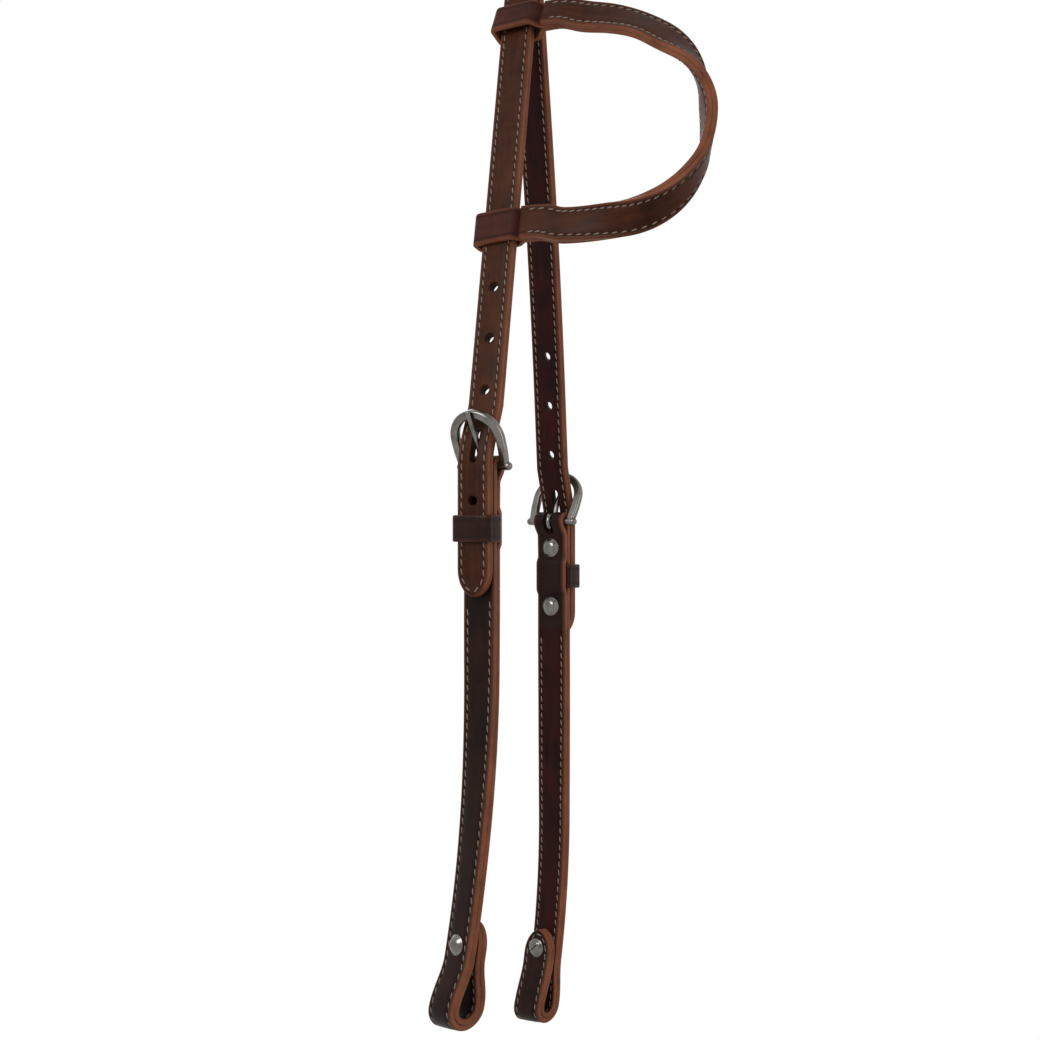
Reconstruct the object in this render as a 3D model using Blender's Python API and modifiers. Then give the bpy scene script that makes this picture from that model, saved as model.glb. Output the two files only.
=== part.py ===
"""Western one-ear headstall, hung folded over a peg.

A doubled and stitched crown strap is folded at the poll. Each of its ends is buckled to a
cheek strap that is folded round a buckle's heel bar at the top and into a bit loop at the
bottom. A D-shaped ear strap is wrapped round the near leg of the crown, where it slides.
Units are metres. Up is +Z, and the origin is the underside of the fold at the poll.
"""

import math

import bmesh
import bpy
from mathutils import Matrix, Vector

MM = 0.001

# Leather, shared by all straps
STRAP_WIDTH = 16.5 * MM
FIT_GAP = 0.3 * MM
EDGE_ROUND = 0.55 * MM
CROWN_LAYER = 2.2 * MM
CHEEK_LAYER = 2.6 * MM
EAR_LAYER = 2.4 * MM
TIP_LENGTH = 12.0 * MM
TIP_SHARES = (0.02, 0.1, 0.25, 0.45, 0.7, 1.0)
TIP_POWER_SHARE = 0.55
EDGE_LIMIT_SHARE = 0.35
FLAT_LIMIT_SHARE = 0.9999999

# How the headstall hangs: all of it is turned so that the bit loops face along Y
BENCH_TURN = math.radians(28.5)
CROWN_TWIST = math.radians(20.0)
POLL_RADIUS = 6.0 * MM
POLL_STEPS = 7
BEND_STEPS = 5
NEAR_LEG_TILT = math.radians(20.3)
NEAR_LEG_LENGTH = 224.0 * MM
OFF_TOP_TILT = math.radians(22.0)
OFF_LOW_TILT = math.radians(15.0)
OFF_TOP_LENGTH = 60.0 * MM
OFF_SPRING_LENGTH = 140.0 * MM
OFF_LOW_LENGTH = 52.0 * MM
BUCKLE_BEND_RADIUS = 40.0 * MM
BEND_BELOW_HEEL = 2.0 * MM
HEEL_DRIFT = -2.2 * MM
BUCKLE_ZONE = 27.0 * MM

# Punched holes of the crown strap
HOLE_PITCH = 25.4 * MM
HOLE_RADIUS = 2.3 * MM
HOLES_ABOVE = 3
HOLES_BELOW = 1
HOLE_SIDES = 12
TONGUE_HOLE_LENGTH = 16.5 * MM
TONGUE_HOLE_SHIFT = 1.0 * MM
TONGUE_SIDE_ROOM = 0.9 * MM

# Buckle: horseshoe frame, heel bar and tongue
BAR_RADIUS = 1.9 * MM
FRAME_BAR_WIDTH = 4.0 * MM
FRAME_THICKNESS = 3.4 * MM
FRAME_EDGE_ROUND = 0.9 * MM
FRAME_ARC_RADIUS = 11.9 * MM
FRAME_ARC_HEIGHT = 13.1 * MM
FRAME_HEEL_HALF = 10.7 * MM
FRAME_ARC_STEPS = 13
FRAME_SIDE_SHARES = ((0.0, 0.0), (0.42, 0.22), (0.8, 0.5), (0.97, 0.8))
KNOB_OVERHANG = 1.9 * MM
KNOB_ROUND_STEPS = 4
TONGUE_SIDES = 10
TONGUE_RADIUS = 1.25 * MM
TONGUE_TIP_RADIUS = 0.95 * MM
TONGUE_BORE_GAP = 0.25 * MM
TONGUE_RISE = 2.5 * MM
TONGUE_OVERREACH = 1.6 * MM
TONGUE_EYE_SWEEP = math.radians(262.0)
TONGUE_EYE_STEPS = 11
TONGUE_SHANK_STEPS = 8

# Cheek strap
BILLET_BELOW_HEEL = 58.0 * MM
LAP_LENGTH = 54.8 * MM
UPPER_SCREW_DROP = 13.3 * MM
LOWER_SCREW_DROP = 43.0 * MM
KEEPER_DROP = 27.7 * MM
KEEPER_WIDTH = 12.0 * MM
KEEPER_LAYER = 2.0 * MM
KEEPER_SKIVE = 1.2 * MM
KEEPER_ROOM = 0.4 * MM
KEEPER_CORNER = 1.9 * MM
KEEPER_CORNER_STEPS = 3
RIDGE_RUN = 3.4 * MM
RIDGE_STEPS = 4
FOLD_STEPS = 9
FOLD_SETTLE = 8.4 * MM
FOLD_SETTLE_STEPS = 5
SLOT_END_ROOM = 2.0 * MM
SLOT_SIDE_ROOM = 1.3 * MM
CHEEK_STEP = 20.0 * MM
LEAN = 4.0 * MM
LOOP_STEADY = 52.0 * MM
LOOP_CLOSE_HEIGHT = 32.0 * MM
LOOP_STEPS = 9
LOOP_EASE_STEPS = 6
BIT_LAP_HEIGHT = 47.5 * MM
BIT_SCREW_HEIGHT = 38.0 * MM
NEAR_DROP = 251.0 * MM
OFF_DROP = 254.5 * MM
NEAR_LOOP_OPEN = 8.6 * MM
OFF_LOOP_OPEN = 6.0 * MM
NEAR_LOW_TWIST = math.radians(38.5)
OFF_LOW_TWIST = math.radians(28.5)
NEAR_SWAY = 15.6 * MM
OFF_SWAY = 9.0 * MM
NEAR_SWAY_START_SHARE = 0.35
OFF_SWAY_START_SHARE = 0.58

# Chicago screws
BARREL_RADIUS = 2.5 * MM
THREAD_RADIUS = 1.5 * MM
THREAD_GAP = 0.15 * MM
SCREW_HEAD_RADIUS = 4.75 * MM
DOME_HEIGHT = 2.3 * MM
DOME_RIM = 0.5 * MM
DOME_STEPS = 3
FLAT_HEAD_RADIUS = 4.0 * MM
FLAT_HEAD_HEIGHT = 1.0 * MM
DRIVER_SLOT_WIDTH = 0.9 * MM
DRIVER_SLOT_DEPTH = 0.8 * MM
FLAT_SLOT_DEPTH = 0.5 * MM
BARREL_END_GAP = 0.5 * MM
THREAD_BITE = 1.0 * MM
SCREW_SIDES = 16
CUT_OVERRUN = 2.0 * MM
SLOPE_SPAN = 2.0 * MM

# Ear strap, in the plane of the near crown leg: across it, and down it from the poll bend
EAR_WIDTH = 16.0 * MM
UPPER_WRAP_WIDTH = 14.0 * MM
UPPER_WRAP_DOWN = 12.5 * MM
LOWER_WRAP_DOWN = 120.5 * MM
UPPER_WRAP_SKEW = math.radians(14.0)
WRAP_ROOM = 0.4 * MM
WRAP_SIDE_ROOM = 0.8 * MM
WRAP_CORNER = 2.3 * MM
WRAP_CORNER_STEPS = 3
RAMP_STEPS = 4
WRAP_CLEAR = 0.7 * MM
EAR_START = 14.0 * MM
UPPER_EAR_START = 15.5 * MM
EAR_SPLICE = 18.0 * MM
SPLICE_THICK = 1.6 * MM
SPLICE_THIN = 0.6 * MM
SPLICE_EASE = 7.0 * MM
ARM_LENGTH = 22.0 * MM
ARM_RISE_START = 4.0 * MM
EAR_REACH = 106.0 * MM
EAR_LOWEST = 127.0 * MM
EAR_STEPS = 36
EAR_MID_TURN = math.radians(130.0)
EAR_UPPER_TURN = math.radians(40.0)
# Places of the ear loop's centre line: share of the reach, share of the lowest point
EAR_LOOP_SHARES = (
    (0.340, 0.983), (0.530, 0.995), (0.680, 0.995), (0.800, 0.968), (0.890, 0.920),
    (0.955, 0.855), (0.990, 0.790), (1.000, 0.700), (0.990, 0.610), (0.950, 0.505),
    (0.880, 0.405), (0.780, 0.315), (0.650, 0.235), (0.500, 0.175), (0.360, 0.140),
)

TURN = Matrix.Rotation(BENCH_TURN, 3, 'Z')
UP = Vector((0.0, 0.0, 1.0))
CROWN_HALF = FIT_GAP / 2 + CROWN_LAYER
CHEEK_HALF = FIT_GAP / 2 + CHEEK_LAYER
HALF_WIDTH = STRAP_WIDTH / 2


# Scene and materials

def clear_scene():
    for obj in list(bpy.data.objects):
        bpy.data.objects.remove(obj, do_unlink=True)


def make_collection(name):
    collection = bpy.data.collections.new(name)
    bpy.context.scene.collection.children.link(collection)
    return collection


def make_material(name, colour, roughness, metallic):
    material = bpy.data.materials.new(name)
    material.use_nodes = True
    shader = material.node_tree.nodes["Principled BSDF"]
    shader.inputs["Base Color"].default_value = (*colour, 1.0)
    shader.inputs["Roughness"].default_value = roughness
    shader.inputs["Metallic"].default_value = metallic
    material.diffuse_color = (*colour, 1.0)
    return material


def leather(name, colour):
    return make_material(name, colour, 0.5, 0.0)


def steel(name):
    return make_material(name, (0.56, 0.55, 0.52), 0.28, 1.0)


def add_object(name, data, collection, material=None):
    obj = bpy.data.objects.new(name, data)
    collection.objects.link(obj)
    if material is not None:
        data.materials.append(material)
    return obj


def finish_mesh(name, bm):
    """Turn every face of a closed body outwards and store it as a mesh."""
    bmesh.ops.recalc_face_normals(bm, faces=bm.faces)
    if bm.calc_volume(signed=True) < 0:
        bmesh.ops.reverse_faces(bm, faces=bm.faces)
    mesh = bpy.data.meshes.new(name)
    bm.to_mesh(mesh)
    bm.free()
    return mesh


def add_cutter(name, bm):
    mesh = finish_mesh(name, bm)
    cutter = add_object(name, mesh, CUTTERS)
    cutter.hide_render = True
    cutter.display_type = 'WIRE'
    return cutter


def combine(target, tool, operation='DIFFERENCE'):
    modifier = target.modifiers.new(tool.name, 'BOOLEAN')
    modifier.operation = operation
    modifier.solver = 'EXACT'
    modifier.object = tool


# Straps: a rectangle with eased corners, carried from station to station

class Station:
    """One cross section of a strap: its place, its two directions and its limits."""

    def __init__(self, point, across, out, half, low, high):
        self.point = point
        self.across = across.normalized()
        self.out = out.normalized()
        self.half = half
        self.low = low
        self.high = high

    def corners(self, edge_round):
        edge = min(edge_round, EDGE_LIMIT_SHARE * (self.high - self.low), EDGE_LIMIT_SHARE * self.half)
        half, low, high = self.half, self.low, self.high
        outline = (
            (half, low + edge), (half, high - edge), (half - edge, high), (edge - half, high),
            (-half, high - edge), (-half, low + edge), (edge - half, low), (half - edge, low),
        )
        return [self.point + self.across * x + self.out * y for x, y in outline]


def extend_loop(bm, loop, places):
    """Extrude a closed loop of vertices to new places and return the new loop."""
    edges = [bm.edges.get((loop[i - 1], loop[i])) for i in range(len(loop))]
    made = bmesh.ops.extrude_edge_only(bm, edges=edges)
    fresh = {item for item in made["geom"] if isinstance(item, bmesh.types.BMVert)}
    following = []
    for vert, place in zip(loop, places):
        partner = next(e.other_vert(vert) for e in vert.link_edges if e.other_vert(vert) in fresh)
        partner.co = place
        following.append(partner)
    return following


def crease_twist(bm, loop, following):
    """Fold a twisted span along one diagonal, the same way in every layer."""
    for i in range(len(loop)):
        k = (i + 1) % len(loop)
        face = next(f for f in bm.edges.get((loop[i], loop[k])).link_faces if following[i] in f.verts)
        if i <= len(loop) // 2:
            bmesh.utils.face_split(face, loop[i], following[k])
        else:
            bmesh.utils.face_split(face, loop[k], following[i])


def sweep_mesh(name, stations, edge_round=EDGE_ROUND):
    bm = bmesh.new()
    loop = [bm.verts.new(corner) for corner in stations[0].corners(edge_round)]
    bm.faces.new(loop)
    for last, station in zip(stations, stations[1:]):
        following = extend_loop(bm, loop, station.corners(edge_round))
        if last.across.dot(station.across) < FLAT_LIMIT_SHARE:
            crease_twist(bm, loop, following)
        loop = following
    bm.faces.new(loop)
    return finish_mesh(name, bm)


def add_strap(name, stations, material):
    return add_object(name, sweep_mesh(name, stations), PARTS, material)


def tip_half(half, distance, length=TIP_LENGTH):
    """Half width of a strap at a distance from its rounded tip."""
    share = min(1.0, max(distance / length, 0.0))
    return half * (1.0 - (1.0 - share) ** 2) ** TIP_POWER_SHARE


def slopes(points):
    """Unit directions along a row of 2D points."""
    result = []
    for i in range(len(points)):
        a = points[max(i - 1, 0)]
        b = points[min(i + 1, len(points) - 1)]
        result.append((Vector(b) - Vector(a)).normalized())
    return result


def ease(share):
    return 0.5 - 0.5 * math.cos(math.pi * min(1.0, max(0.0, share)))


def interpolate(a, b, share):
    return a + (b - a) * share


# The crown strap's route

class Walk:
    """A line walked in one plane from the poll outwards and down."""

    def __init__(self, spread, height, heading):
        self.spread = spread
        self.height = height
        self.heading = heading
        self.travel = 0.0
        self.marks = [(spread, height, heading, 0.0)]

    def mark(self):
        self.marks.append((self.spread, self.height, self.heading, self.travel))

    def run(self, length, steps=1):
        for _ in range(steps):
            self.spread += math.cos(self.heading) * length / steps
            self.height -= math.sin(self.heading) * length / steps
            self.travel += length / steps
            self.mark()

    def bend(self, radius, angle, steps):
        for _ in range(steps):
            part = angle / steps
            chord = 2 * radius * math.sin(part / 2)
            self.spread += math.cos(self.heading + part / 2) * chord
            self.height -= math.sin(self.heading + part / 2) * chord
            self.heading += part
            self.travel += radius * part
            self.mark()


class CrownLeg:
    """One leg of the crown strap: a line from the poll down to the billet's tip."""

    def __init__(self, sign, top_tilt, low_tilt):
        self.sign = sign
        self.low_tilt = low_tilt
        middle_radius = POLL_RADIUS + CROWN_HALF
        half_facet = (math.pi / 2 - top_tilt) / (2 * POLL_STEPS + 1)
        centre = -POLL_RADIUS * math.cos(half_facet)
        walk = Walk(middle_radius * math.sin(half_facet),
                    centre + middle_radius * math.cos(half_facet), half_facet)
        walk.bend(middle_radius, math.pi / 2 - top_tilt - half_facet, POLL_STEPS)
        self.top_end = walk.marks[-1]
        if top_tilt == low_tilt:
            walk.run(NEAR_LEG_LENGTH, 2)
        else:
            walk.run(OFF_TOP_LENGTH, 2)
            spring = top_tilt - low_tilt
            walk.bend(OFF_SPRING_LENGTH / spring, spring, BEND_STEPS)
            walk.run(OFF_LOW_LENGTH, 2)
        self.zone_top = walk.marks[-1]
        walk.bend(BUCKLE_BEND_RADIUS, low_tilt, BEND_STEPS)
        self.billet_top = walk.marks[-1]
        self.heel_height = walk.height + BEND_BELOW_HEEL
        self.heel_spread = walk.spread
        straight = BILLET_BELOW_HEEL - BEND_BELOW_HEEL - TIP_LENGTH
        walk.run(straight, 2)
        last = 0.0
        for share in reversed(TIP_SHARES):
            travelled = TIP_LENGTH * (1.0 - share)
            walk.run(max(travelled - last, 0.0))
            last = travelled
        self.walk = walk
        self.end_travel = walk.travel + TIP_LENGTH * TIP_SHARES[0]

    def drift(self, spread, height):
        """How far the leg's middle lies along X, which centres it in its buckle."""
        twist_slope = math.tan(CROWN_TWIST)
        above = height - self.heel_height
        if above <= BUCKLE_ZONE:
            return HEEL_DRIFT - self.sign * twist_slope * (self.heel_spread - spread)
        zone_spread = self.spread_at(self.heel_height + BUCKLE_ZONE)
        zone_drift = HEEL_DRIFT - self.sign * twist_slope * (self.heel_spread - zone_spread)
        return zone_drift * height / (self.heel_height + BUCKLE_ZONE)

    def spread_at(self, height):
        for a, b in zip(self.walk.marks, self.walk.marks[1:]):
            if b[1] <= height <= a[1]:
                share = (a[1] - height) / max(a[1] - b[1], FIT_GAP * FIT_GAP)
                return interpolate(a[0], b[0], share)
        return self.heel_spread

    def frame(self, mark):
        """World place and outward direction of a mark on the leg."""
        spread, height, heading, _ = mark
        place = Vector((self.drift(spread, height), self.sign * spread, height))
        along = Vector((0.0, self.sign * math.cos(heading), -math.sin(heading)))
        out = along.cross(crown_across_flat()) * -self.sign
        return TURN @ place, (TURN @ out).normalized()

    def at(self, travel):
        """Interpolated place and outward direction at a distance from the poll."""
        marks = self.walk.marks
        for a, b in zip(marks, marks[1:]):
            if a[3] <= travel <= b[3] and b[3] > a[3]:
                share = (travel - a[3]) / (b[3] - a[3])
                mixed = tuple(interpolate(a[i], b[i], share) for i in range(4))
                return self.frame(mixed)
        return self.frame(marks[-1])

    def stations(self, low, high):
        result = []
        for mark in self.walk.marks:
            place, out = self.frame(mark)
            half = tip_half(HALF_WIDTH, self.end_travel - mark[3])
            result.append(Station(place, crown_across(), out, half, low, high))
        return result


def crown_across_flat():
    return Vector((math.cos(CROWN_TWIST), -math.sin(CROWN_TWIST), 0.0))


def crown_across():
    return TURN @ crown_across_flat()


# The cheek strap's hanging plane

class Cheek:
    """Local frame of one cheek: height, distance out from its face, and across."""

    def __init__(self, leg, drop, low_twist, sway, sway_start_share):
        self.sign = leg.sign
        self.leg = leg
        self.heel = leg.heel_height
        self.drop = drop
        self.bottom = self.heel - drop
        self.low_twist = low_twist
        self.sway = sway
        self.sway_start = self.heel - drop * sway_start_share
        billet = Vector((HEEL_DRIFT, self.sign * leg.heel_spread, self.heel))
        self.top = billet - self.flat_out(self.heel) * (CROWN_HALF + FIT_GAP)
        self.bar_w = -(CHEEK_LAYER + FIT_GAP + BAR_RADIUS)

    def twist(self, height):
        start = self.heel - BILLET_BELOW_HEEL - TIP_LENGTH / 3
        end = self.bottom + LOOP_STEADY
        share = (start - height) / (start - end)
        return interpolate(CROWN_TWIST, self.low_twist, ease(share))

    def flat_out(self, height):
        turn = self.twist(height)
        return Vector((math.sin(turn), math.cos(turn), 0.0)) * self.sign

    def flat_across(self, height):
        turn = self.twist(height)
        return Vector((math.cos(turn), -math.sin(turn), 0.0))

    def out(self, height):
        return TURN @ self.flat_out(height)

    def across(self, height):
        return TURN @ self.flat_across(height)

    def place(self, w, height, x=0.0):
        lean_start = self.heel - BILLET_BELOW_HEEL - TIP_LENGTH / 3
        below = max(0.0, lean_start - height)
        leaning = LEAN * below / (lean_start - self.bottom)
        swung = max(0.0, self.sway_start - height) / (self.sway_start - self.bottom)
        line = Vector((self.top.x - self.sway * swung ** 2, self.top.y + self.sign * leaning, height))
        flat = line + self.flat_out(height) * w + self.flat_across(height) * x
        return TURN @ flat

    def matrix(self, w, height, lean=0.0):
        """Local X across, Z up, Y inwards, at a place of the cheek, leant outwards."""
        out = self.out(height)
        x_axis = self.across(height) * -self.sign
        z_axis = UP * math.cos(lean) + out * math.sin(lean)
        y_axis = z_axis.cross(x_axis)
        result = Matrix((x_axis, y_axis, z_axis)).transposed().to_4x4()
        result.translation = self.place(w, height)
        return result

    def screw_matrix(self, w, height, facing):
        """Local Z square to the strap: out of it (facing 1) or to its back (facing -1)."""
        x_axis = self.across(height)
        along = self.place(0.0, height + SLOPE_SPAN) - self.place(0.0, height - SLOPE_SPAN)
        normal = along.cross(x_axis).normalized()
        if normal.dot(self.out(height)) < 0:
            normal = -normal
        z_axis = normal * facing
        x_axis = (x_axis - z_axis * x_axis.dot(z_axis)).normalized()
        y_axis = z_axis.cross(x_axis)
        result = Matrix((x_axis, y_axis, z_axis)).transposed().to_4x4()
        result.translation = self.place(0.0, height) + normal * w
        return result

    def strip(self, line, thickness, tip_at_end):
        """Stations of one layer along a row of (w, height) places of its middle."""
        travelled = [0.0]
        for a, b in zip(line, line[1:]):
            travelled.append(travelled[-1] + (Vector(b) - Vector(a)).length)
        total = travelled[-1] + TIP_LENGTH * TIP_SHARES[0]
        result = []
        for spot, slope, run in zip(line, slopes(line), travelled):
            w, height = spot
            out = self.out(height) * -slope[1] + UP * slope[0]
            half = tip_half(HALF_WIDTH, total - run) if tip_at_end else HALF_WIDTH
            result.append(Station(self.place(w, height), self.across(height), out, half,
                                  -thickness / 2, thickness / 2))
        return result


def fold_line(cheek):
    """Middle of the outer layer from its lap's end up the back and over the heel bar."""
    flush = -(CHEEK_LAYER + FIT_GAP + CHEEK_LAYER / 2)
    fold_radius = BAR_RADIUS + FIT_GAP + CHEEK_LAYER / 2
    fold_back = cheek.bar_w - fold_radius
    ridge = flush - (KEEPER_SKIVE + FIT_GAP)
    line = [(flush, cheek.heel - LAP_LENGTH)]
    ridge_low = KEEPER_DROP + KEEPER_WIDTH / 2 + FIT_GAP
    ridge_high = KEEPER_DROP - KEEPER_WIDTH / 2 - FIT_GAP
    for i in range(RIDGE_STEPS + 1):
        share = i / RIDGE_STEPS
        drop = ridge_low + RIDGE_RUN * (1.0 - share)
        line.append((interpolate(flush, ridge, ease(share)), cheek.heel - drop))
    for i in range(RIDGE_STEPS + 1):
        share = i / RIDGE_STEPS
        drop = ridge_high - RIDGE_RUN * share
        line.append((interpolate(ridge, flush, ease(share)), cheek.heel - drop))
    for i in range(FOLD_SETTLE_STEPS):
        share = i / FOLD_SETTLE_STEPS
        drop = FOLD_SETTLE * (1.0 - share)
        line.append((interpolate(flush, fold_back, ease(share)), cheek.heel - drop))
    for i in range(FOLD_STEPS + 1):
        angle = math.pi * i / FOLD_STEPS
        line.append((cheek.bar_w - fold_radius * math.cos(angle),
                     cheek.heel + fold_radius * math.sin(angle)))
    return line


def loop_line(cheek, opening, shift):
    """Middle of one layer round the bit loop, shifted out from the glue line."""
    closed_half = CHEEK_HALF + FIT_GAP / 2
    open_half = opening / 2 + CHEEK_HALF
    middle = -(CHEEK_HALF + closed_half)
    side_height = cheek.bottom + CHEEK_HALF + open_half
    close_height = cheek.bottom + LOOP_CLOSE_HEIGHT
    glue = []
    for i in range(LOOP_EASE_STEPS):
        share = i / LOOP_EASE_STEPS
        gap = interpolate(closed_half, open_half, ease(share))
        glue.append((middle + gap, interpolate(close_height, side_height, share)))
    for i in range(LOOP_STEPS + 1):
        angle = math.pi * i / LOOP_STEPS
        glue.append((middle + open_half * math.cos(angle), side_height - open_half * math.sin(angle)))
    for i in range(1, LOOP_EASE_STEPS + 1):
        share = i / LOOP_EASE_STEPS
        gap = interpolate(open_half, closed_half, ease(share))
        glue.append((middle - gap, interpolate(side_height, close_height, share)))
    tip = cheek.bottom + BIT_LAP_HEIGHT
    glue.append((middle - closed_half, tip - TIP_LENGTH - FIT_GAP))
    for share in reversed(TIP_SHARES):
        glue.append((middle - closed_half, tip - TIP_LENGTH * share))
    shifted = []
    for spot, slope in zip(glue, slopes(glue)):
        shifted.append((spot[0] - slope[1] * shift, spot[1] + slope[0] * shift))
    return shifted


def front_line(cheek, w, start, end):
    count = max(2, round((start - end) / CHEEK_STEP))
    return [(w, interpolate(start, end, i / count)) for i in range(count)]


# Round tools and turned pieces

def rod_cutter(name, matrix, radius, low, high, stretch=0.0, sides=HOLE_SIDES):
    """Cylinder along local Z from low to high, drawn out along local Y by stretch."""
    bm = bmesh.new()
    turn = Matrix.Rotation(math.pi / sides, 4, 'Z')
    middle = Matrix.Translation((0.0, 0.0, (low + high) / 2))
    bmesh.ops.create_cone(bm, cap_ends=True, segments=sides, radius1=radius, radius2=radius,
                          depth=high - low, matrix=middle @ turn)
    for vert in bm.verts:
        vert.co.y += math.copysign(stretch / 2, vert.co.y)
        vert.co = matrix @ vert.co
    return add_cutter(name, bm)


def turned(name, profile, matrix, material):
    """Solid of revolution about local Z from an outline that runs down its outer side."""
    mesh = bpy.data.meshes.new(name)
    points = [(radius, 0.0, height) for radius, height in profile]
    edges = [(i, i + 1) for i in range(len(points) - 1)]
    mesh.from_pydata(points, edges, [])
    obj = add_object(name, mesh, PARTS, material)
    obj.matrix_world = matrix
    screw = obj.modifiers.new("turn", 'SCREW')
    screw.axis = 'Z'
    screw.steps = SCREW_SIDES
    screw.render_steps = SCREW_SIDES
    screw.use_merge_vertices = True
    screw.merge_threshold = 0.00001
    screw.use_smooth_shade = True
    return obj


def dome(radius, height, base):
    """Outline of a domed head from its top to its rim."""
    points = []
    for i in range(DOME_STEPS):
        angle = math.pi / 2 * i / DOME_STEPS
        points.append((radius * math.sin(angle), base + DOME_RIM + (height - DOME_RIM) * math.cos(angle)))
    points.append((radius, base + DOME_RIM))
    points.append((radius, base))
    return points


def barrel_post(name, cheek, w, height, facing, stack, head, head_radius, head_height):
    """Chicago screw post: head on the strap's face and a bored barrel through the stack."""
    bore = THREAD_RADIUS + THREAD_GAP
    depth = stack - BARREL_END_GAP
    profile = head(head_radius, head_height)
    profile += [
        (BARREL_RADIUS, 0.0), (BARREL_RADIUS, -depth), (bore, -depth), (bore, -THREAD_GAP), (0.0, -THREAD_GAP),
    ]
    return turned(name, profile, cheek.screw_matrix(w, height, facing), steel(name + "_nickel"))


def domed_head(radius, height):
    return dome(radius, height, 0.0)


def flat_head(radius, height):
    return [(0.0, height), (radius, height), (radius, 0.0)]


def binding_screw(name, cheek, w, height, facing, stack, head, head_radius, head_height, slot_depth):
    """Slotted screw that is driven into the post from the other side."""
    length = stack - THREAD_BITE
    profile = head(head_radius, head_height)
    profile += [(THREAD_RADIUS, 0.0), (THREAD_RADIUS, -length), (0.0, -length)]
    matrix = cheek.screw_matrix(w, height, facing)
    obj = turned(name, profile, matrix, steel(name + "_nickel"))
    bm = bmesh.new()
    size = Matrix.Diagonal((head_radius * 3, DRIVER_SLOT_WIDTH, slot_depth + CUT_OVERRUN, 1.0))
    middle = Matrix.Translation((0.0, 0.0, head_height - slot_depth + (slot_depth + CUT_OVERRUN) / 2))
    bmesh.ops.create_cube(bm, size=1.0, matrix=matrix @ middle @ size)
    combine(obj, add_cutter(name + "_slot", bm))
    return obj


# Buckle

def frame_lean(leg):
    """Outward lean of the buckle frame that rests it on the billet behind its arc."""
    inner = FRAME_ARC_RADIUS - FRAME_BAR_WIDTH / 2
    passing = min(HALF_WIDTH + FIT_GAP, inner)
    contact = FRAME_ARC_HEIGHT + math.sqrt(inner ** 2 - passing ** 2)
    slope = math.atan(math.tan(leg.low_tilt) / math.cos(CROWN_TWIST))
    rise = BUCKLE_BEND_RADIUS * math.sin(leg.low_tilt) - BEND_BELOW_HEEL
    inward = BUCKLE_BEND_RADIUS * (1 - math.cos(leg.low_tilt)) / math.cos(CROWN_TWIST)
    face_w = CROWN_HALF + FIT_GAP - inward + CROWN_HALF * math.cos(slope)
    face_up = rise + CROWN_HALF * math.sin(slope)
    bar_w = -(CHEEK_LAYER + FIT_GAP + BAR_RADIUS)
    need = FIT_GAP + face_up * math.sin(slope) + (face_w - bar_w) * math.cos(slope)
    half = FRAME_THICKNESS / 2
    reach = math.hypot(contact, half)
    return math.asin(need / reach) + math.atan2(half, contact) - slope


def frame_outline():
    """Middle of the horseshoe bar in its plane, from one heel over the top to the other."""
    side = [(interpolate(FRAME_HEEL_HALF, FRAME_ARC_RADIUS, x), FRAME_ARC_HEIGHT * z)
            for x, z in FRAME_SIDE_SHARES]
    side[0] = (FRAME_HEEL_HALF, -BAR_RADIUS / 2)
    arc = []
    for i in range(FRAME_ARC_STEPS + 1):
        angle = math.pi * i / FRAME_ARC_STEPS
        arc.append((FRAME_ARC_RADIUS * math.cos(angle), FRAME_ARC_HEIGHT + FRAME_ARC_RADIUS * math.sin(angle)))
    return side + arc + [(-x, z) for x, z in reversed(side)]


def buckle_frame(name, cheek, lean):
    outline = frame_outline()
    stations = []
    half = FRAME_THICKNESS / 2
    for spot, slope in zip(outline, slopes(outline)):
        across = Vector((slope[1], 0.0, -slope[0]))
        stations.append(Station(Vector((spot[0], 0.0, spot[1])), across, Vector((0.0, -1.0, 0.0)),
                                FRAME_BAR_WIDTH / 2, -half, half))
    mesh = sweep_mesh(name, stations, FRAME_EDGE_ROUND)
    frame = add_object(name, mesh, PARTS, steel(name + "_nickel"))
    frame.matrix_world = cheek.matrix(cheek.bar_w, cheek.heel, lean)
    end = FRAME_HEEL_HALF + FRAME_BAR_WIDTH / 2 + KNOB_OVERHANG - BAR_RADIUS
    profile = []
    for i in range(KNOB_ROUND_STEPS):
        angle = math.pi / 2 * i / KNOB_ROUND_STEPS
        profile.append((BAR_RADIUS * math.sin(angle), end + BAR_RADIUS * math.cos(angle)))
    profile.append((BAR_RADIUS, end))
    profile += [(radius, -height) for radius, height in reversed(profile)]
    bar = turned(name + "_heel_bar", profile, Matrix.Identity(4), None)
    PARTS.objects.unlink(bar)
    CUTTERS.objects.link(bar)
    bar.hide_render = True
    bar.display_type = 'WIRE'
    bar.matrix_world = frame.matrix_world @ Matrix.Rotation(math.pi / 2, 4, 'Y')
    combine(frame, bar, 'UNION')
    return frame


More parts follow.
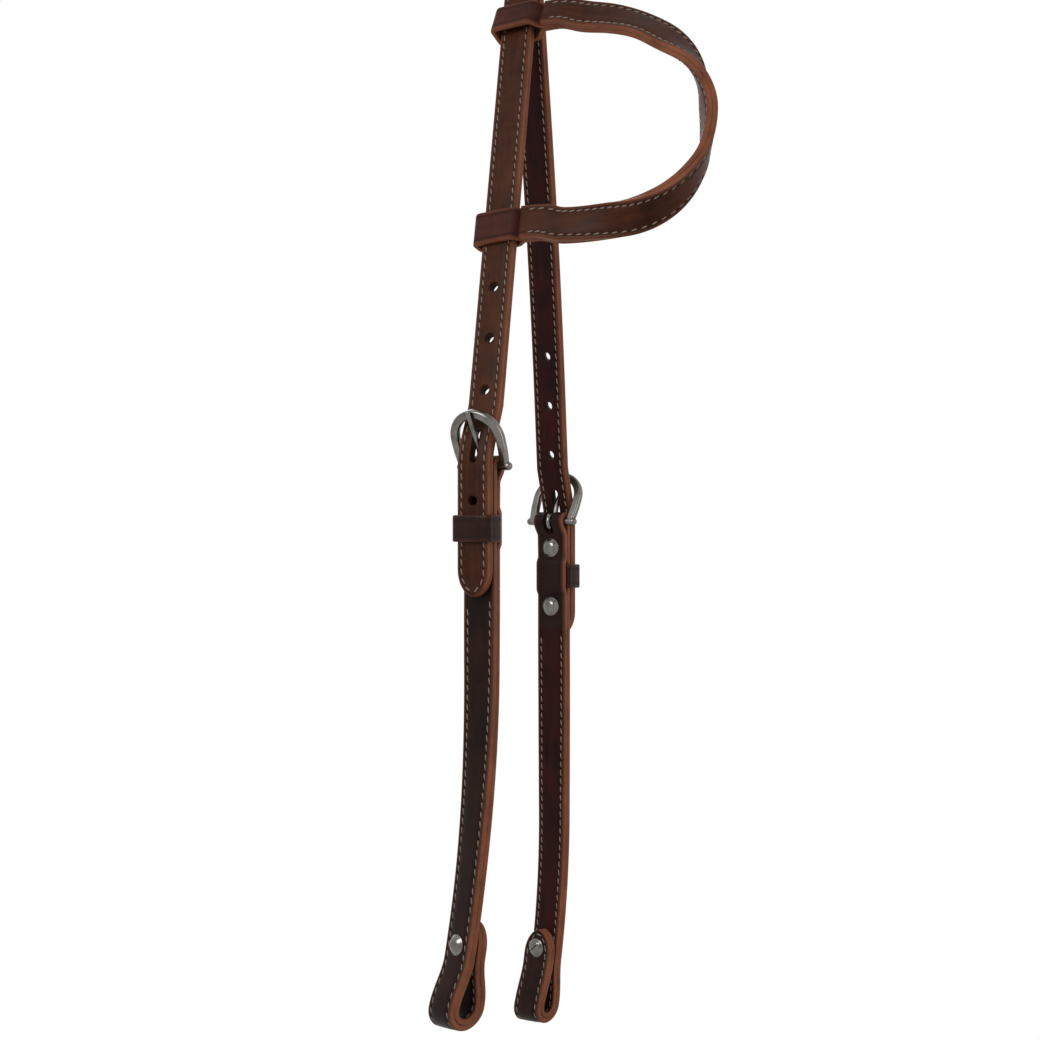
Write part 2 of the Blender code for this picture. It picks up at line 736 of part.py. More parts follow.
def tongue_line(lean):
    """Places (out, up) of the tongue's middle from its tip down and round the heel bar."""
    eye = BAR_RADIUS + TONGUE_BORE_GAP + TONGUE_RADIUS
    rest = FRAME_THICKNESS / 2 + FIT_GAP + TONGUE_TIP_RADIUS
    top = FRAME_ARC_HEIGHT + FRAME_ARC_RADIUS + TONGUE_OVERREACH
    along = Vector((math.sin(lean), math.cos(lean)))
    away = Vector((math.cos(lean), -math.sin(lean)))
    tip = along * top + away * rest
    root = Vector((eye, TONGUE_RISE))
    handle = (tip - root).length / 3
    controls = (tip, tip - along * handle, root + Vector((0.0, handle)), root)
    line = []
    for i in range(TONGUE_SHANK_STEPS + 1):
        t = i / TONGUE_SHANK_STEPS
        a, b, c, d = controls
        spot = a * (1 - t) ** 3 + b * 3 * t * (1 - t) ** 2 + c * 3 * t ** 2 * (1 - t) + d * t ** 3
        radius = interpolate(TONGUE_TIP_RADIUS, TONGUE_RADIUS, min(1.0, 2 * t))
        line.append((spot, radius))
    for i in range(TONGUE_EYE_STEPS + 1):
        angle = -TONGUE_EYE_SWEEP * i / TONGUE_EYE_STEPS
        line.append((Vector((eye * math.cos(angle), eye * math.sin(angle))), TONGUE_RADIUS))
    return line


def buckle_tongue(name, cheek, lean):
    line = [(Vector((0.0, -spot[0], spot[1])), radius) for spot, radius in tongue_line(lean)]
    bm = bmesh.new()
    loop = []
    for i, (place, radius) in enumerate(line):
        along = (line[min(i + 1, len(line) - 1)][0] - line[max(i - 1, 0)][0]).normalized()
        side = Vector((1.0, 0.0, 0.0))
        out = along.cross(side)
        ring = []
        for k in range(TONGUE_SIDES):
            angle = 2 * math.pi * k / TONGUE_SIDES
            ring.append(place + (side * math.cos(angle) + out * math.sin(angle)) * radius)
        if loop:
            loop = extend_loop(bm, loop, ring)
        else:
            loop = [bm.verts.new(corner) for corner in ring]
            bm.faces.new(loop)
    bm.faces.new(loop)
    tongue = add_object(name, finish_mesh(name, bm), PARTS, steel(name + "_nickel"))
    tongue.matrix_world = cheek.matrix(cheek.bar_w, cheek.heel)
    return tongue


def tongue_hole_travel(leg, cheek, lean):
    """Distance along the crown leg where the tongue's middle crosses the glue line."""
    best = None
    matrix = cheek.matrix(cheek.bar_w, cheek.heel)
    shank = [spot for spot, _ in tongue_line(lean)[:TONGUE_SHANK_STEPS + 1]]
    top = leg.zone_top[3] - BUCKLE_ZONE / 3
    bottom = leg.billet_top[3]
    samples = TONGUE_SHANK_STEPS * BEND_STEPS
    for spot in shank:
        place = matrix @ Vector((0.0, -spot[0], spot[1]))
        for i in range(samples + 1):
            travel = interpolate(top, bottom, i / samples)
            distance = (leg.at(travel)[0] - place).length
            if best is None or distance < best[0]:
                best = (distance, travel)
    return best[1]


# Sides

def crown_matrix(leg, travel):
    """Local Z out of the crown leg, local Y up along it."""
    place, out = leg.at(travel)
    across = crown_across()
    along = out.cross(across)
    result = Matrix((across, along, out)).transposed().to_4x4()
    result.translation = place
    return result


def punch_crown(straps, side, leg, tongue_travel):
    deep = CROWN_HALF + CUT_OVERRUN
    for k in range(-HOLES_BELOW, HOLES_ABOVE + 1):
        travel = tongue_travel - k * HOLE_PITCH
        matrix = crown_matrix(leg, travel)
        if k == 0:
            matrix = crown_matrix(leg, travel + TONGUE_HOLE_SHIFT)
            radius = TONGUE_RADIUS + TONGUE_SIDE_ROOM
            stretch = TONGUE_HOLE_LENGTH - 2 * radius
        else:
            radius = HOLE_RADIUS
            stretch = 0.0
        cutter = rod_cutter(f"{side}_crown_hole_{k + HOLES_BELOW}", matrix, radius, -deep, deep, stretch)
        for strap in straps:
            combine(strap, cutter)


def make_cheek(side, leg, cheek, opening, lean):
    outer_w = -CHEEK_LAYER / 2
    lining_w = -(CHEEK_LAYER + FIT_GAP + CHEEK_LAYER / 2)
    shift = FIT_GAP / 2 + CHEEK_LAYER / 2
    close_height = cheek.bottom + LOOP_CLOSE_HEIGHT
    lining_top = cheek.heel - LAP_LENGTH - FIT_GAP
    outer = fold_line(cheek)
    outer += front_line(cheek, outer_w, cheek.heel - UPPER_SCREW_DROP, lining_top)
    outer += front_line(cheek, outer_w, lining_top, close_height)
    outer += loop_line(cheek, opening, shift)
    lining = front_line(cheek, lining_w, lining_top, close_height)
    lining += loop_line(cheek, opening, -shift)
    strap = add_strap(f"{side}_cheek_strap", cheek.strip(outer, CHEEK_LAYER, True),
                      leather(f"{side}_cheek_grain", (0.032, 0.014, 0.010)))
    back = add_strap(f"{side}_cheek_lining", cheek.strip(lining, CHEEK_LAYER, True),
                     leather(f"{side}_cheek_flesh", (0.045, 0.016, 0.012)))
    slot_radius = TONGUE_RADIUS + SLOT_SIDE_ROOM
    eye = BAR_RADIUS + TONGUE_BORE_GAP + 2 * TONGUE_RADIUS
    slot_top = BAR_RADIUS + 2 * FIT_GAP + CHEEK_LAYER + CUT_OVERRUN + slot_radius
    slot_bottom = eye + SLOT_END_ROOM
    slot_matrix = cheek.screw_matrix(0.0, cheek.heel + (slot_top - slot_bottom) / 2, 1)
    slot = rod_cutter(f"{side}_tongue_slot", slot_matrix, slot_radius,
                      2 * cheek.bar_w - CUT_OVERRUN - CHEEK_LAYER, CUT_OVERRUN,
                      slot_top + slot_bottom - 2 * slot_radius)
    combine(strap, slot)
    hole = BARREL_RADIUS + FIT_GAP
    lap_back = -(2 * CHEEK_LAYER + FIT_GAP)
    recess = FLAT_HEAD_HEIGHT + FIT_GAP
    for label, drop in (("upper", UPPER_SCREW_DROP), ("lower", LOWER_SCREW_DROP)):
        height = cheek.heel - drop
        matrix = cheek.screw_matrix(0.0, height, 1)
        combine(strap, rod_cutter(f"{side}_{label}_hole", matrix, hole, lap_back - CUT_OVERRUN, CUT_OVERRUN))
        combine(strap, rod_cutter(f"{side}_{label}_recess", matrix, FLAT_HEAD_RADIUS + FIT_GAP,
                                  -recess, CUT_OVERRUN, sides=SCREW_SIDES))
        stack = -lap_back - recess + FIT_GAP
        barrel_post(f"{side}_{label}_screw_post", cheek, lap_back - FIT_GAP, height, -1, stack,
                    domed_head, SCREW_HEAD_RADIUS, DOME_HEIGHT)
        binding_screw(f"{side}_{label}_screw", cheek, -recess + FIT_GAP / 2, height, 1, stack,
                      flat_head, FLAT_HEAD_RADIUS, FLAT_HEAD_HEIGHT, FLAT_SLOT_DEPTH)
    bit_height = cheek.bottom + BIT_SCREW_HEIGHT
    bit_back = -(4 * CHEEK_LAYER + 3 * FIT_GAP)
    matrix = cheek.screw_matrix(0.0, bit_height, 1)
    bit_hole = rod_cutter(f"{side}_bit_hole", matrix, hole, bit_back - CUT_OVERRUN, CUT_OVERRUN)
    combine(strap, bit_hole)
    combine(back, bit_hole)
    stack = -bit_back + 2 * FIT_GAP
    barrel_post(f"{side}_bit_screw_post", cheek, FIT_GAP, bit_height, 1, stack,
                domed_head, SCREW_HEAD_RADIUS, DOME_HEIGHT)
    binding_screw(f"{side}_bit_screw", cheek, bit_back - FIT_GAP, bit_height, -1, stack,
                  domed_head, SCREW_HEAD_RADIUS, DOME_HEIGHT, DRIVER_SLOT_DEPTH)
    make_keeper(side, cheek)
    buckle_frame(f"{side}_buckle_frame", cheek, lean)
    buckle_tongue(f"{side}_buckle_tongue", cheek, lean)


def rounded_ring(right, front, back, corner, steps, seam):
    """Open ring of (across, out) places round a strap, with its seam at the back."""
    places = [(seam, back)]
    corners = (
        ((right - corner, back + corner), -math.pi / 2),
        ((right - corner, front - corner), 0.0),
        ((corner - right, front - corner), math.pi / 2),
        ((corner - right, back + corner), math.pi),
    )
    for middle, start in corners:
        for i in range(steps + 1):
            angle = start + math.pi / 2 * i / steps
            places.append((middle[0] + corner * math.cos(angle), middle[1] + corner * math.sin(angle)))
    places.append((-seam, back))
    return places


def make_keeper(side, cheek):
    height = cheek.heel - KEEPER_DROP
    right = HALF_WIDTH + KEEPER_ROOM + KEEPER_LAYER / 2
    front = 2 * CROWN_HALF + 2 * FIT_GAP + KEEPER_LAYER / 2
    back = -(CHEEK_LAYER + FIT_GAP + KEEPER_SKIVE / 2)
    ring = rounded_ring(right, front, back, KEEPER_CORNER, KEEPER_CORNER_STEPS, FIT_GAP / 2)
    stations = []
    for spot, slope in zip(ring, slopes(ring)):
        skived = abs(spot[1] - back) < KEEPER_SKIVE / 4
        half = KEEPER_SKIVE / 2 if skived else KEEPER_LAYER / 2
        out = cheek.across(height) * slope[1] - cheek.out(height) * slope[0]
        stations.append(Station(cheek.place(spot[1], height, spot[0]), UP, out, KEEPER_WIDTH / 2, -half, half))
    add_strap(f"{side}_keeper", stations, leather(f"{side}_keeper_leather", (0.040, 0.018, 0.012)))


# Ear strap

class EarPlane:
    """Plane of the near crown leg: across it (x), down it (d) and out of it (o)."""

    def __init__(self, leg):
        start = leg.frame(leg.top_end)
        zone = leg.frame(leg.zone_top)
        self.origin = start[0]
        self.down = (zone[0] - start[0]).normalized()
        self.out = start[1]
        self.across = self.out.cross(self.down) * -1.0
        if self.across.dot(crown_across()) < 0:
            self.across = -self.across
        self.across.normalize()

    def place(self, x, d, o):
        return self.origin + self.across * x + self.down * d + self.out * o


def smooth_points(points, steps):
    """Catmull-Rom curve through 2D points, sampled evenly along its length."""
    dense = []
    for i in range(len(points) - 1):
        p0 = Vector(points[max(i - 1, 0)])
        p1 = Vector(points[i])
        p2 = Vector(points[i + 1])
        p3 = Vector(points[min(i + 2, len(points) - 1)])
        for k in range(steps):
            t = k / steps
            spot = ((p1 * 2) + (p2 - p0) * t + (p0 * 2 - p1 * 5 + p2 * 4 - p3) * t * t
                    + (p1 * 3 - p0 - p2 * 3 + p3) * t * t * t) / 2
            dense.append(spot)
    dense.append(Vector(points[-1]))
    lengths = [0.0]
    for a, b in zip(dense, dense[1:]):
        lengths.append(lengths[-1] + (b - a).length)
    result = []
    for k in range(steps + 1):
        wanted = lengths[-1] * k / steps
        i = max(j for j in range(len(lengths)) if lengths[j] <= wanted + FIT_GAP * FIT_GAP)
        i = min(i, len(dense) - 2)
        share = (wanted - lengths[i]) / (lengths[i + 1] - lengths[i])
        result.append(dense[i].lerp(dense[i + 1], min(share, 1.0)))
    return result


class EarLoop:
    """Glue line of the ear strap from the lower wrap round the D to the upper wrap."""

    def __init__(self, plane):
        self.plane = plane
        knots = [(EAR_START, LOWER_WRAP_DOWN), (EAR_START + ARM_LENGTH / 2, LOWER_WRAP_DOWN + ARM_RISE_START / 4)]
        knots += [(EAR_REACH * x, EAR_LOWEST * d) for x, d in EAR_LOOP_SHARES]
        knots += [(UPPER_EAR_START + ARM_LENGTH / 2, UPPER_WRAP_DOWN + ARM_RISE_START / 4),
                  (UPPER_EAR_START, UPPER_WRAP_DOWN)]
        self.points = smooth_points(knots, EAR_STEPS)
        self.slopes = slopes(self.points)
        self.slopes[0] = Vector((1.0, 0.0))
        self.slopes[-1] = Vector((-1.0, 0.0))
        self.total = 0.0
        self.runs = [0.0]
        for a, b in zip(self.points, self.points[1:]):
            self.total += (b - a).length
            self.runs.append(self.total)

    def turn(self, run):
        """Twist of the strap out of the plane: 0 flat at the wraps, most at the middle."""
        share = (run - EAR_SPLICE) / (self.total - 2 * EAR_SPLICE)
        if share < 0.5:
            return EAR_MID_TURN * ease(share * 2)
        late = (share - 0.5) * 2
        if late < 0.55:
            return interpolate(EAR_MID_TURN, EAR_UPPER_TURN, ease(late / 0.55))
        return interpolate(EAR_UPPER_TURN, UPPER_WRAP_SKEW, ease((late - 0.55) / 0.45))

    def directions(self, i):
        slope = self.slopes[i]
        along = self.plane.across * slope[0] + self.plane.down * slope[1]
        side = self.plane.across * slope[1] - self.plane.down * slope[0]
        angle = self.turn(self.runs[i])
        across = side * math.cos(angle) + self.plane.out * math.sin(angle)
        out = along.cross(across)
        if self.plane.out.dot(along.cross(side)) < 0:
            out = -out
        return across, out

    def splice(self, end):
        """Stations of the wrap's skived end, between the two layers of the arm."""
        result = []
        for i, spot in enumerate(self.points):
            run = self.runs[i] if end == 0 else self.total - self.runs[i]
            if run <= EAR_SPLICE:
                across, out = self.directions(i)
                low = FIT_GAP / 2
                result.append(Station(self.plane.place(spot[0], spot[1], 0.0), across, out,
                                      self.width(i) / 2, low, low + splice_thickness(run)))
        return list(reversed(result))

    def width(self, i):
        return interpolate(EAR_WIDTH, UPPER_WRAP_WIDTH, ease((self.runs[i] / self.total - 0.8) / 0.2))


def splice_thickness(run):
    """Thickness of the wrap's skived end at a distance into the splice."""
    return interpolate(SPLICE_THICK, SPLICE_THIN, min(1.0, max(0.0, run / EAR_SPLICE)))


def splice_lift(run):
    """How far the outer layer is lifted by the skived end that lies under it."""
    lift = splice_thickness(run) + FIT_GAP
    past = (run - EAR_SPLICE) / SPLICE_EASE
    return interpolate(lift, 0.0, ease(past))


def wrap_stations(plane, down, skew, width, arm_x):
    """Stations of one wrap from the splice up over the front, round and along the back."""
    lean = width / 2 * math.tan(abs(skew))
    half_o = CROWN_HALF / math.cos(skew) + lean + WRAP_ROOM + EAR_LAYER / 2
    right = HALF_WIDTH + WRAP_SIDE_ROOM + EAR_LAYER / 2
    band_across = plane.down * math.cos(skew) + plane.out * math.sin(skew)
    band_out = plane.out * math.cos(skew) - plane.down * math.sin(skew)
    thin = splice_thickness(0.0)
    start_o = FIT_GAP / 2 + thin / 2
    places = []
    clear_x = HALF_WIDTH + WRAP_CLEAR
    ramp = arm_x - clear_x
    for i in range(1, RAMP_STEPS):
        share = i / RAMP_STEPS
        places.append((arm_x - ramp * share, interpolate(start_o, half_o, ease(share)),
                       interpolate(thin, EAR_LAYER, ease(share))))
    places.append((clear_x, half_o, EAR_LAYER))
    for corner_o, start in ((half_o - WRAP_CORNER, math.pi / 2), (WRAP_CORNER - half_o, math.pi)):
        for i in range(WRAP_CORNER_STEPS + 1):
            angle = start + math.pi / 2 * i / WRAP_CORNER_STEPS
            places.append((WRAP_CORNER - right + WRAP_CORNER * math.cos(angle),
                           corner_o + WRAP_CORNER * math.sin(angle), EAR_LAYER))
    places.append((clear_x, -half_o, EAR_LAYER))
    back_o = -(FIT_GAP / 2 + EAR_LAYER / 2)
    for i in range(1, RAMP_STEPS):
        share = i / RAMP_STEPS
        places.append((clear_x + ramp * share, interpolate(-half_o, back_o, ease(share)), EAR_LAYER))
    flat = [(x, o) for x, o, _ in places]
    stations = []
    for (x, o, thick), slope in zip(places, slopes(flat)):
        point = plane.origin + plane.down * down + plane.across * x + band_out * o
        out = band_out * -slope[0] + plane.across * slope[1]
        stations.append(Station(point, band_across, out, width / 2, -thick / 2, thick / 2))
    return stations


def make_ear(leg):
    plane = EarPlane(leg)
    loop = EarLoop(plane)
    outer = []
    lining = []
    lining_shift = FIT_GAP / 2 + EAR_LAYER / 2
    for i, spot in enumerate(loop.points):
        across, out = loop.directions(i)
        centre = plane.place(spot[0], spot[1], 0.0)
        run = min(loop.runs[i], loop.total - loop.runs[i])
        lift = splice_lift(run)
        half = loop.width(i) / 2
        low = FIT_GAP / 2 + lift
        outer.append(Station(centre, across, out, half, low, low + EAR_LAYER))
        lining.append(Station(centre, across, out, half, -lining_shift - EAR_LAYER / 2, -lining_shift + EAR_LAYER / 2))
    lower = wrap_stations(plane, LOWER_WRAP_DOWN, 0.0, EAR_WIDTH, EAR_START)
    upper = wrap_stations(plane, UPPER_WRAP_DOWN, UPPER_WRAP_SKEW, UPPER_WRAP_WIDTH, UPPER_EAR_START)
    whole = loop.splice(0) + lower + lining[1:-1] + list(reversed(upper)) + loop.splice(-1)
    add_strap("ear_strap", outer, leather("ear_grain", (0.05, 0.02, 0.014)))
    add_strap("ear_lining", align(whole), leather("ear_flesh", (0.06, 0.022, 0.015)))


def align(stations):
    """Give neighbouring stations like directions, so that the strap never flips over."""
    for a, b in zip(stations, stations[1:]):
        if a.across.dot(b.across) < 0:
            b.across = -b.across
        if a.out.dot(b.out) < 0:
            b.out = -b.out
            b.low, b.high = -b.high, -b.low
    return stations


def make_crown(near, off):
    strap_stations = []
    lining_stations = []
    for low, high, store in ((FIT_GAP / 2, CROWN_HALF, strap_stations),
                             (-CROWN_HALF, -FIT_GAP / 2, lining_stations)):
        store += list(reversed(off.stations(low, high)))
        store += near.stations(low, high)
    strap = add_strap("crown_strap", strap_stations, leather("crown_grain", (0.040, 0.018, 0.012)))
    lining = add_strap("crown_lining", lining_stations, leather("crown_flesh", (0.045, 0.014, 0.012)))
    return strap, lining


clear_scene()
PARTS = make_collection("western_headstall")
CUTTERS = make_collection("cutters")


def main():
    near = CrownLeg(-1, NEAR_LEG_TILT, NEAR_LEG_TILT)
    off = CrownLeg(1, OFF_TOP_TILT, OFF_LOW_TILT)
    near_cheek = Cheek(near, NEAR_DROP, NEAR_LOW_TWIST, NEAR_SWAY, NEAR_SWAY_START_SHARE)
    off_cheek = Cheek(off, OFF_DROP, OFF_LOW_TWIST, OFF_SWAY, OFF_SWAY_START_SHARE)
    straps = make_crown(near, off)
    for side, leg, cheek, opening in (("near", near, near_cheek, NEAR_LOOP_OPEN),
                                      ("off", off, off_cheek, OFF_LOOP_OPEN)):
        lean = frame_lean(leg)
        travel = tongue_hole_travel(leg, cheek, lean)
        punch_crown(straps, side, leg, travel)
        make_cheek(side, leg, cheek, opening, lean)
    make_ear(near)


main()
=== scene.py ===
"""Western one-ear headstall, dressed on its frame.

Every strap of the frame gets a finer leather piece on the same route: grain, burnished edges,
creased stitch lines with raised thread, and punched holes with worn rims. The buckles, tongues
and screws are turned and swept again in buffed, handled nickel, its colour darkened to grey as a
painted reflection of a dark room. Lengths are metres, and up is +Z.
"""

import bisect
import math

import bmesh
import bpy
from bpy.props import FloatProperty, IntProperty, PointerProperty, StringProperty
from mathutils import Matrix, Vector


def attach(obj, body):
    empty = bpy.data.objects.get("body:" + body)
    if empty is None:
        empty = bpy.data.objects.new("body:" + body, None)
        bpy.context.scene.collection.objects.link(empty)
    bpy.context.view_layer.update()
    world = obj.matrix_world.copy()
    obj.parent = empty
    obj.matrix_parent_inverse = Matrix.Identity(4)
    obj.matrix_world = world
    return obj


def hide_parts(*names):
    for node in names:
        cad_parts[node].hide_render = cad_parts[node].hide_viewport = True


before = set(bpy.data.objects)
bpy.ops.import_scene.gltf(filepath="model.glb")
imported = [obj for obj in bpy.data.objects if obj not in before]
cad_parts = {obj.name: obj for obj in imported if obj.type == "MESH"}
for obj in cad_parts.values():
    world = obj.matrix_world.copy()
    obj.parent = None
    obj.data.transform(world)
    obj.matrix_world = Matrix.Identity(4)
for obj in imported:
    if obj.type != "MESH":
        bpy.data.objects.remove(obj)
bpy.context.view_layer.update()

MM = 0.001

bl_info = {
    "name": "Western headstall",
    "version": (1, 0, 0),
    "blender": (4, 5, 0),
    "location": "View3D > Sidebar > Headstall",
    "description": "Leather, thread and nickel of a western one-ear headstall",
    "category": "Add Mesh",
}


# Settings that a user would change

def length(name, description, millimetres):
    return FloatProperty(name=name, description=description, default=millimetres * MM,
                         unit='LENGTH', precision=5)


def angle(name, description, degrees):
    return FloatProperty(name=name, description=description, default=math.radians(degrees),
                         subtype='ANGLE', unit='ROTATION')


def share(name, description, value):
    return FloatProperty(name=name, description=description, default=value, subtype='FACTOR')


def count(name, description, number):
    return IntProperty(name=name, description=description, default=number, min=1)


def watts(name, description, power):
    return FloatProperty(name=name, description=description, default=power, unit='POWER')


def colour(name, description, text):
    return StringProperty(name=name, description=description, default=text)


class StrapSettings(bpy.types.PropertyGroup):
    """Leather and stitching that all the straps share."""

    width: length("Strap width", "Width of the crown and cheek straps", 16.5)
    gap: length("Gap", "Room between neighbouring pieces", 0.3)
    seam: length("Seam", "Visible line between two layers sewn together", 0.06)
    crown_layer: length("Crown layer", "Thickness of one layer of the crown", 2.2)
    cheek_layer: length("Cheek layer", "Thickness of one layer of a cheek", 2.6)
    ear_layer: length("Ear layer", "Thickness of one layer of the ear strap", 2.4)
    tip_length: length("Tip length", "Length over which a strap's end is rounded", 12.0)
    edge_round: length("Edge rounding", "Radius of the burnished outer edge", 0.85)
    back_round: length("Back rounding", "Radius of the edge at the seam", 0.2)
    stitch_pitch: length("Stitch pitch", "Distance from stitch to stitch, six to the inch", 4.233)
    stitch_length: length("Stitch length", "Visible length of one stitch", 3.35)
    stitch_inset: length("Stitch inset", "Distance of the stitching from the edge", 2.3)
    thread: length("Thread", "Thickness of the waxed thread", 0.84)
    stitch_slant: angle("Stitch slant", "Turn of each stitch against the seam", 9.0)
    crease_depth: length("Crease depth", "Depth of the groove that the stitches lie in", 0.28)
    crease_width: length("Crease width", "Half width of that groove", 0.95)
    crown_rise: length("Crowning", "Rise of the strap's middle above its creases", 0.12)
    hole_pitch: length("Hole pitch", "Distance from hole to hole", 25.4)
    hole_radius: length("Hole radius", "Radius of a punched hole", 2.25)
    hole_rim: length("Hole rim", "Width of the rounded rim of a hole", 0.28)
    holes_below: count("Holes below", "Holes in a billet below its buckle", 1)
    holes_above: count("Holes above", "Holes in a leg above its buckle", 3)
    tongue_hole_length: length("Tongue hole", "Length of the hole that the tongue passes", 16.5)
    tongue_hole_shift: length("Tongue hole shift", "How far that hole lies down the strap", 1.0)
    tongue_hole_room: length("Tongue hole room", "Side room of the tongue in its hole", 0.6)
    fine_step: length("Fine step", "Longest step of a strap's mesh", 2.4)


class HangSettings(bpy.types.PropertyGroup):
    """How the crown hangs from its fold."""

    bench_turn: angle("Bench turn", "Turn of the whole headstall about +Z", 28.5)
    crown_twist: angle("Crown twist", "Turn of the crown's face about +Z", 20.0)
    poll_radius: length("Poll radius", "Inner radius of the fold at the poll", 6.0)
    near_tilt: angle("Near tilt", "Slope of the near leg away from upright", 20.3)
    near_length: length("Near length", "Straight length of the near leg", 224.0)
    off_top_tilt: angle("Off top tilt", "Slope of the off leg at its top", 22.0)
    off_low_tilt: angle("Off low tilt", "Slope of the off leg at its buckle", 15.0)
    off_top_length: length("Off top length", "Straight length at the off leg's top", 60.0)
    off_spring_length: length("Off spring length", "Curved length of the off leg", 140.0)
    off_low_length: length("Off low length", "Straight length above the off buckle", 52.0)
    buckle_bend: length("Buckle bend", "Bend radius of a leg behind its buckle", 40.0)
    bend_below_heel: length("Bend below heel", "Where the bend ends, below the heel bar", 2.0)
    heel_drift: length("Heel drift", "How far the heels lie behind the poll", -2.2)
    buckle_zone: length("Buckle zone", "Height over which a leg runs centred in its buckle", 27.0)


class CheekSettings(bpy.types.PropertyGroup):
    """Cheek straps, their laps, bit loops and keepers."""

    billet: length("Billet", "Length of the crown's end below the heel bar", 58.0)
    lap: length("Lap", "Length of the cheek's lap behind the buckle", 54.8)
    upper_screw: length("Upper screw", "Drop of the upper screw below the heel bar", 13.3)
    lower_screw: length("Lower screw", "Drop of the lower screw below the heel bar", 43.0)
    keeper_drop: length("Keeper drop", "Drop of the keeper below the heel bar", 27.7)
    keeper_width: length("Keeper width", "Height of the keeper", 12.0)
    keeper_layer: length("Keeper layer", "Thickness of the keeper", 2.0)
    keeper_skive: length("Keeper skive", "Thickness of the keeper's trapped band", 1.2)
    keeper_room: length("Keeper room", "Side room between the keeper and the billet", 0.4)
    keeper_corner: length("Keeper corner", "Corner radius of the keeper", 2.4)
    keeper_bulge: length("Keeper bulge", "How far the keeper's front swells", 0.5)
    ridge_run: length("Ridge run", "Length of each slope over the keeper's band", 3.4)
    fold_settle: length("Fold settle", "Where the fold's legs meet, below the heel bar", 8.4)
    slot_end: length("Slot end", "Room below the tongue's eye in its slot", 2.0)
    slot_side: length("Slot side", "Side room of the tongue in its slot", 1.3)
    lean: length("Lean", "Outward lean of a cheek over its drop", 4.0)
    loop_steady: length("Loop steady", "Untwisted length at the bottom of a cheek", 52.0)
    loop_close: length("Loop close", "Height at which the bit loop closes", 32.0)
    bit_lap: length("Bit lap", "Height of the bit lap's tip", 47.5)
    bit_screw: length("Bit screw", "Height of the bit screw", 38.0)
    near_drop: length("Near drop", "Height of the near cheek", 251.0)
    off_drop: length("Off drop", "Height of the off cheek", 254.5)
    near_open: length("Near loop", "Opening of the near bit loop", 8.6)
    off_open: length("Off loop", "Opening of the off bit loop", 6.0)
    near_twist: angle("Near twist", "Turn of the near cheek's bottom about +Z", 38.5)
    off_twist: angle("Off twist", "Turn of the off cheek's bottom about +Z", 28.5)
    near_sway: length("Near sway", "Swing of the near cheek's bottom", 15.6)
    off_sway: length("Off sway", "Swing of the off cheek's bottom", 9.0)
    near_sway_start: share("Near sway start", "Share of the drop where the near sway starts", 0.35)
    off_sway_start: share("Off sway start", "Share of the drop where the off sway starts", 0.58)


class MetalSettings(bpy.types.PropertyGroup):
    """Buckles, tongues and screws."""

    bar: length("Heel bar", "Radius of the heel bar", 1.9)
    frame_width: length("Frame width", "Width of the buckle frame's bar", 4.0)
    frame_thickness: length("Frame thickness", "Thickness of the buckle frame", 3.4)
    frame_round: length("Frame rounding", "Edge radius of the frame", 0.95)
    arc_radius: length("Arc radius", "Radius of the frame's middle line", 11.9)
    arc_height: length("Arc height", "Height of the arc's centre above the heel bar", 13.1)
    heel_half: length("Heel half", "Half width of the frame at its heel", 10.7)
    knob: length("Knob", "How far the heel bar stands out of the frame", 1.9)
    tongue: length("Tongue", "Radius of the tongue's shank", 1.25)
    tongue_tip: length("Tongue tip", "Radius of the tongue's tip", 0.95)
    bore_gap: length("Bore gap", "Room between the tongue's eye and the heel bar", 0.25)
    tongue_rise: length("Tongue rise", "Where the shank leaves the eye", 2.5)
    tongue_over: length("Tongue over", "How far the tip reaches past the frame's middle", 1.6)
    eye_sweep: angle("Eye sweep", "How far the tongue is bent round the bar", 262.0)
    barrel: length("Barrel", "Radius of a screw post's barrel", 2.5)
    head: length("Head", "Radius of a screw head", 4.75)
    dome: length("Dome", "Height of a domed head", 2.3)
    flat_disc: length("Flat disc", "Radius of the polished flat on a dome", 1.5)
    slot_width: length("Slot width", "Width of the driver slot", 0.9)
    slot_depth: length("Slot depth", "Depth of the driver slot", 0.8)
    flat_head: length("Flat head", "Radius of a sunk flat head", 4.0)
    flat_height: length("Flat height", "Height of a sunk flat head", 1.0)


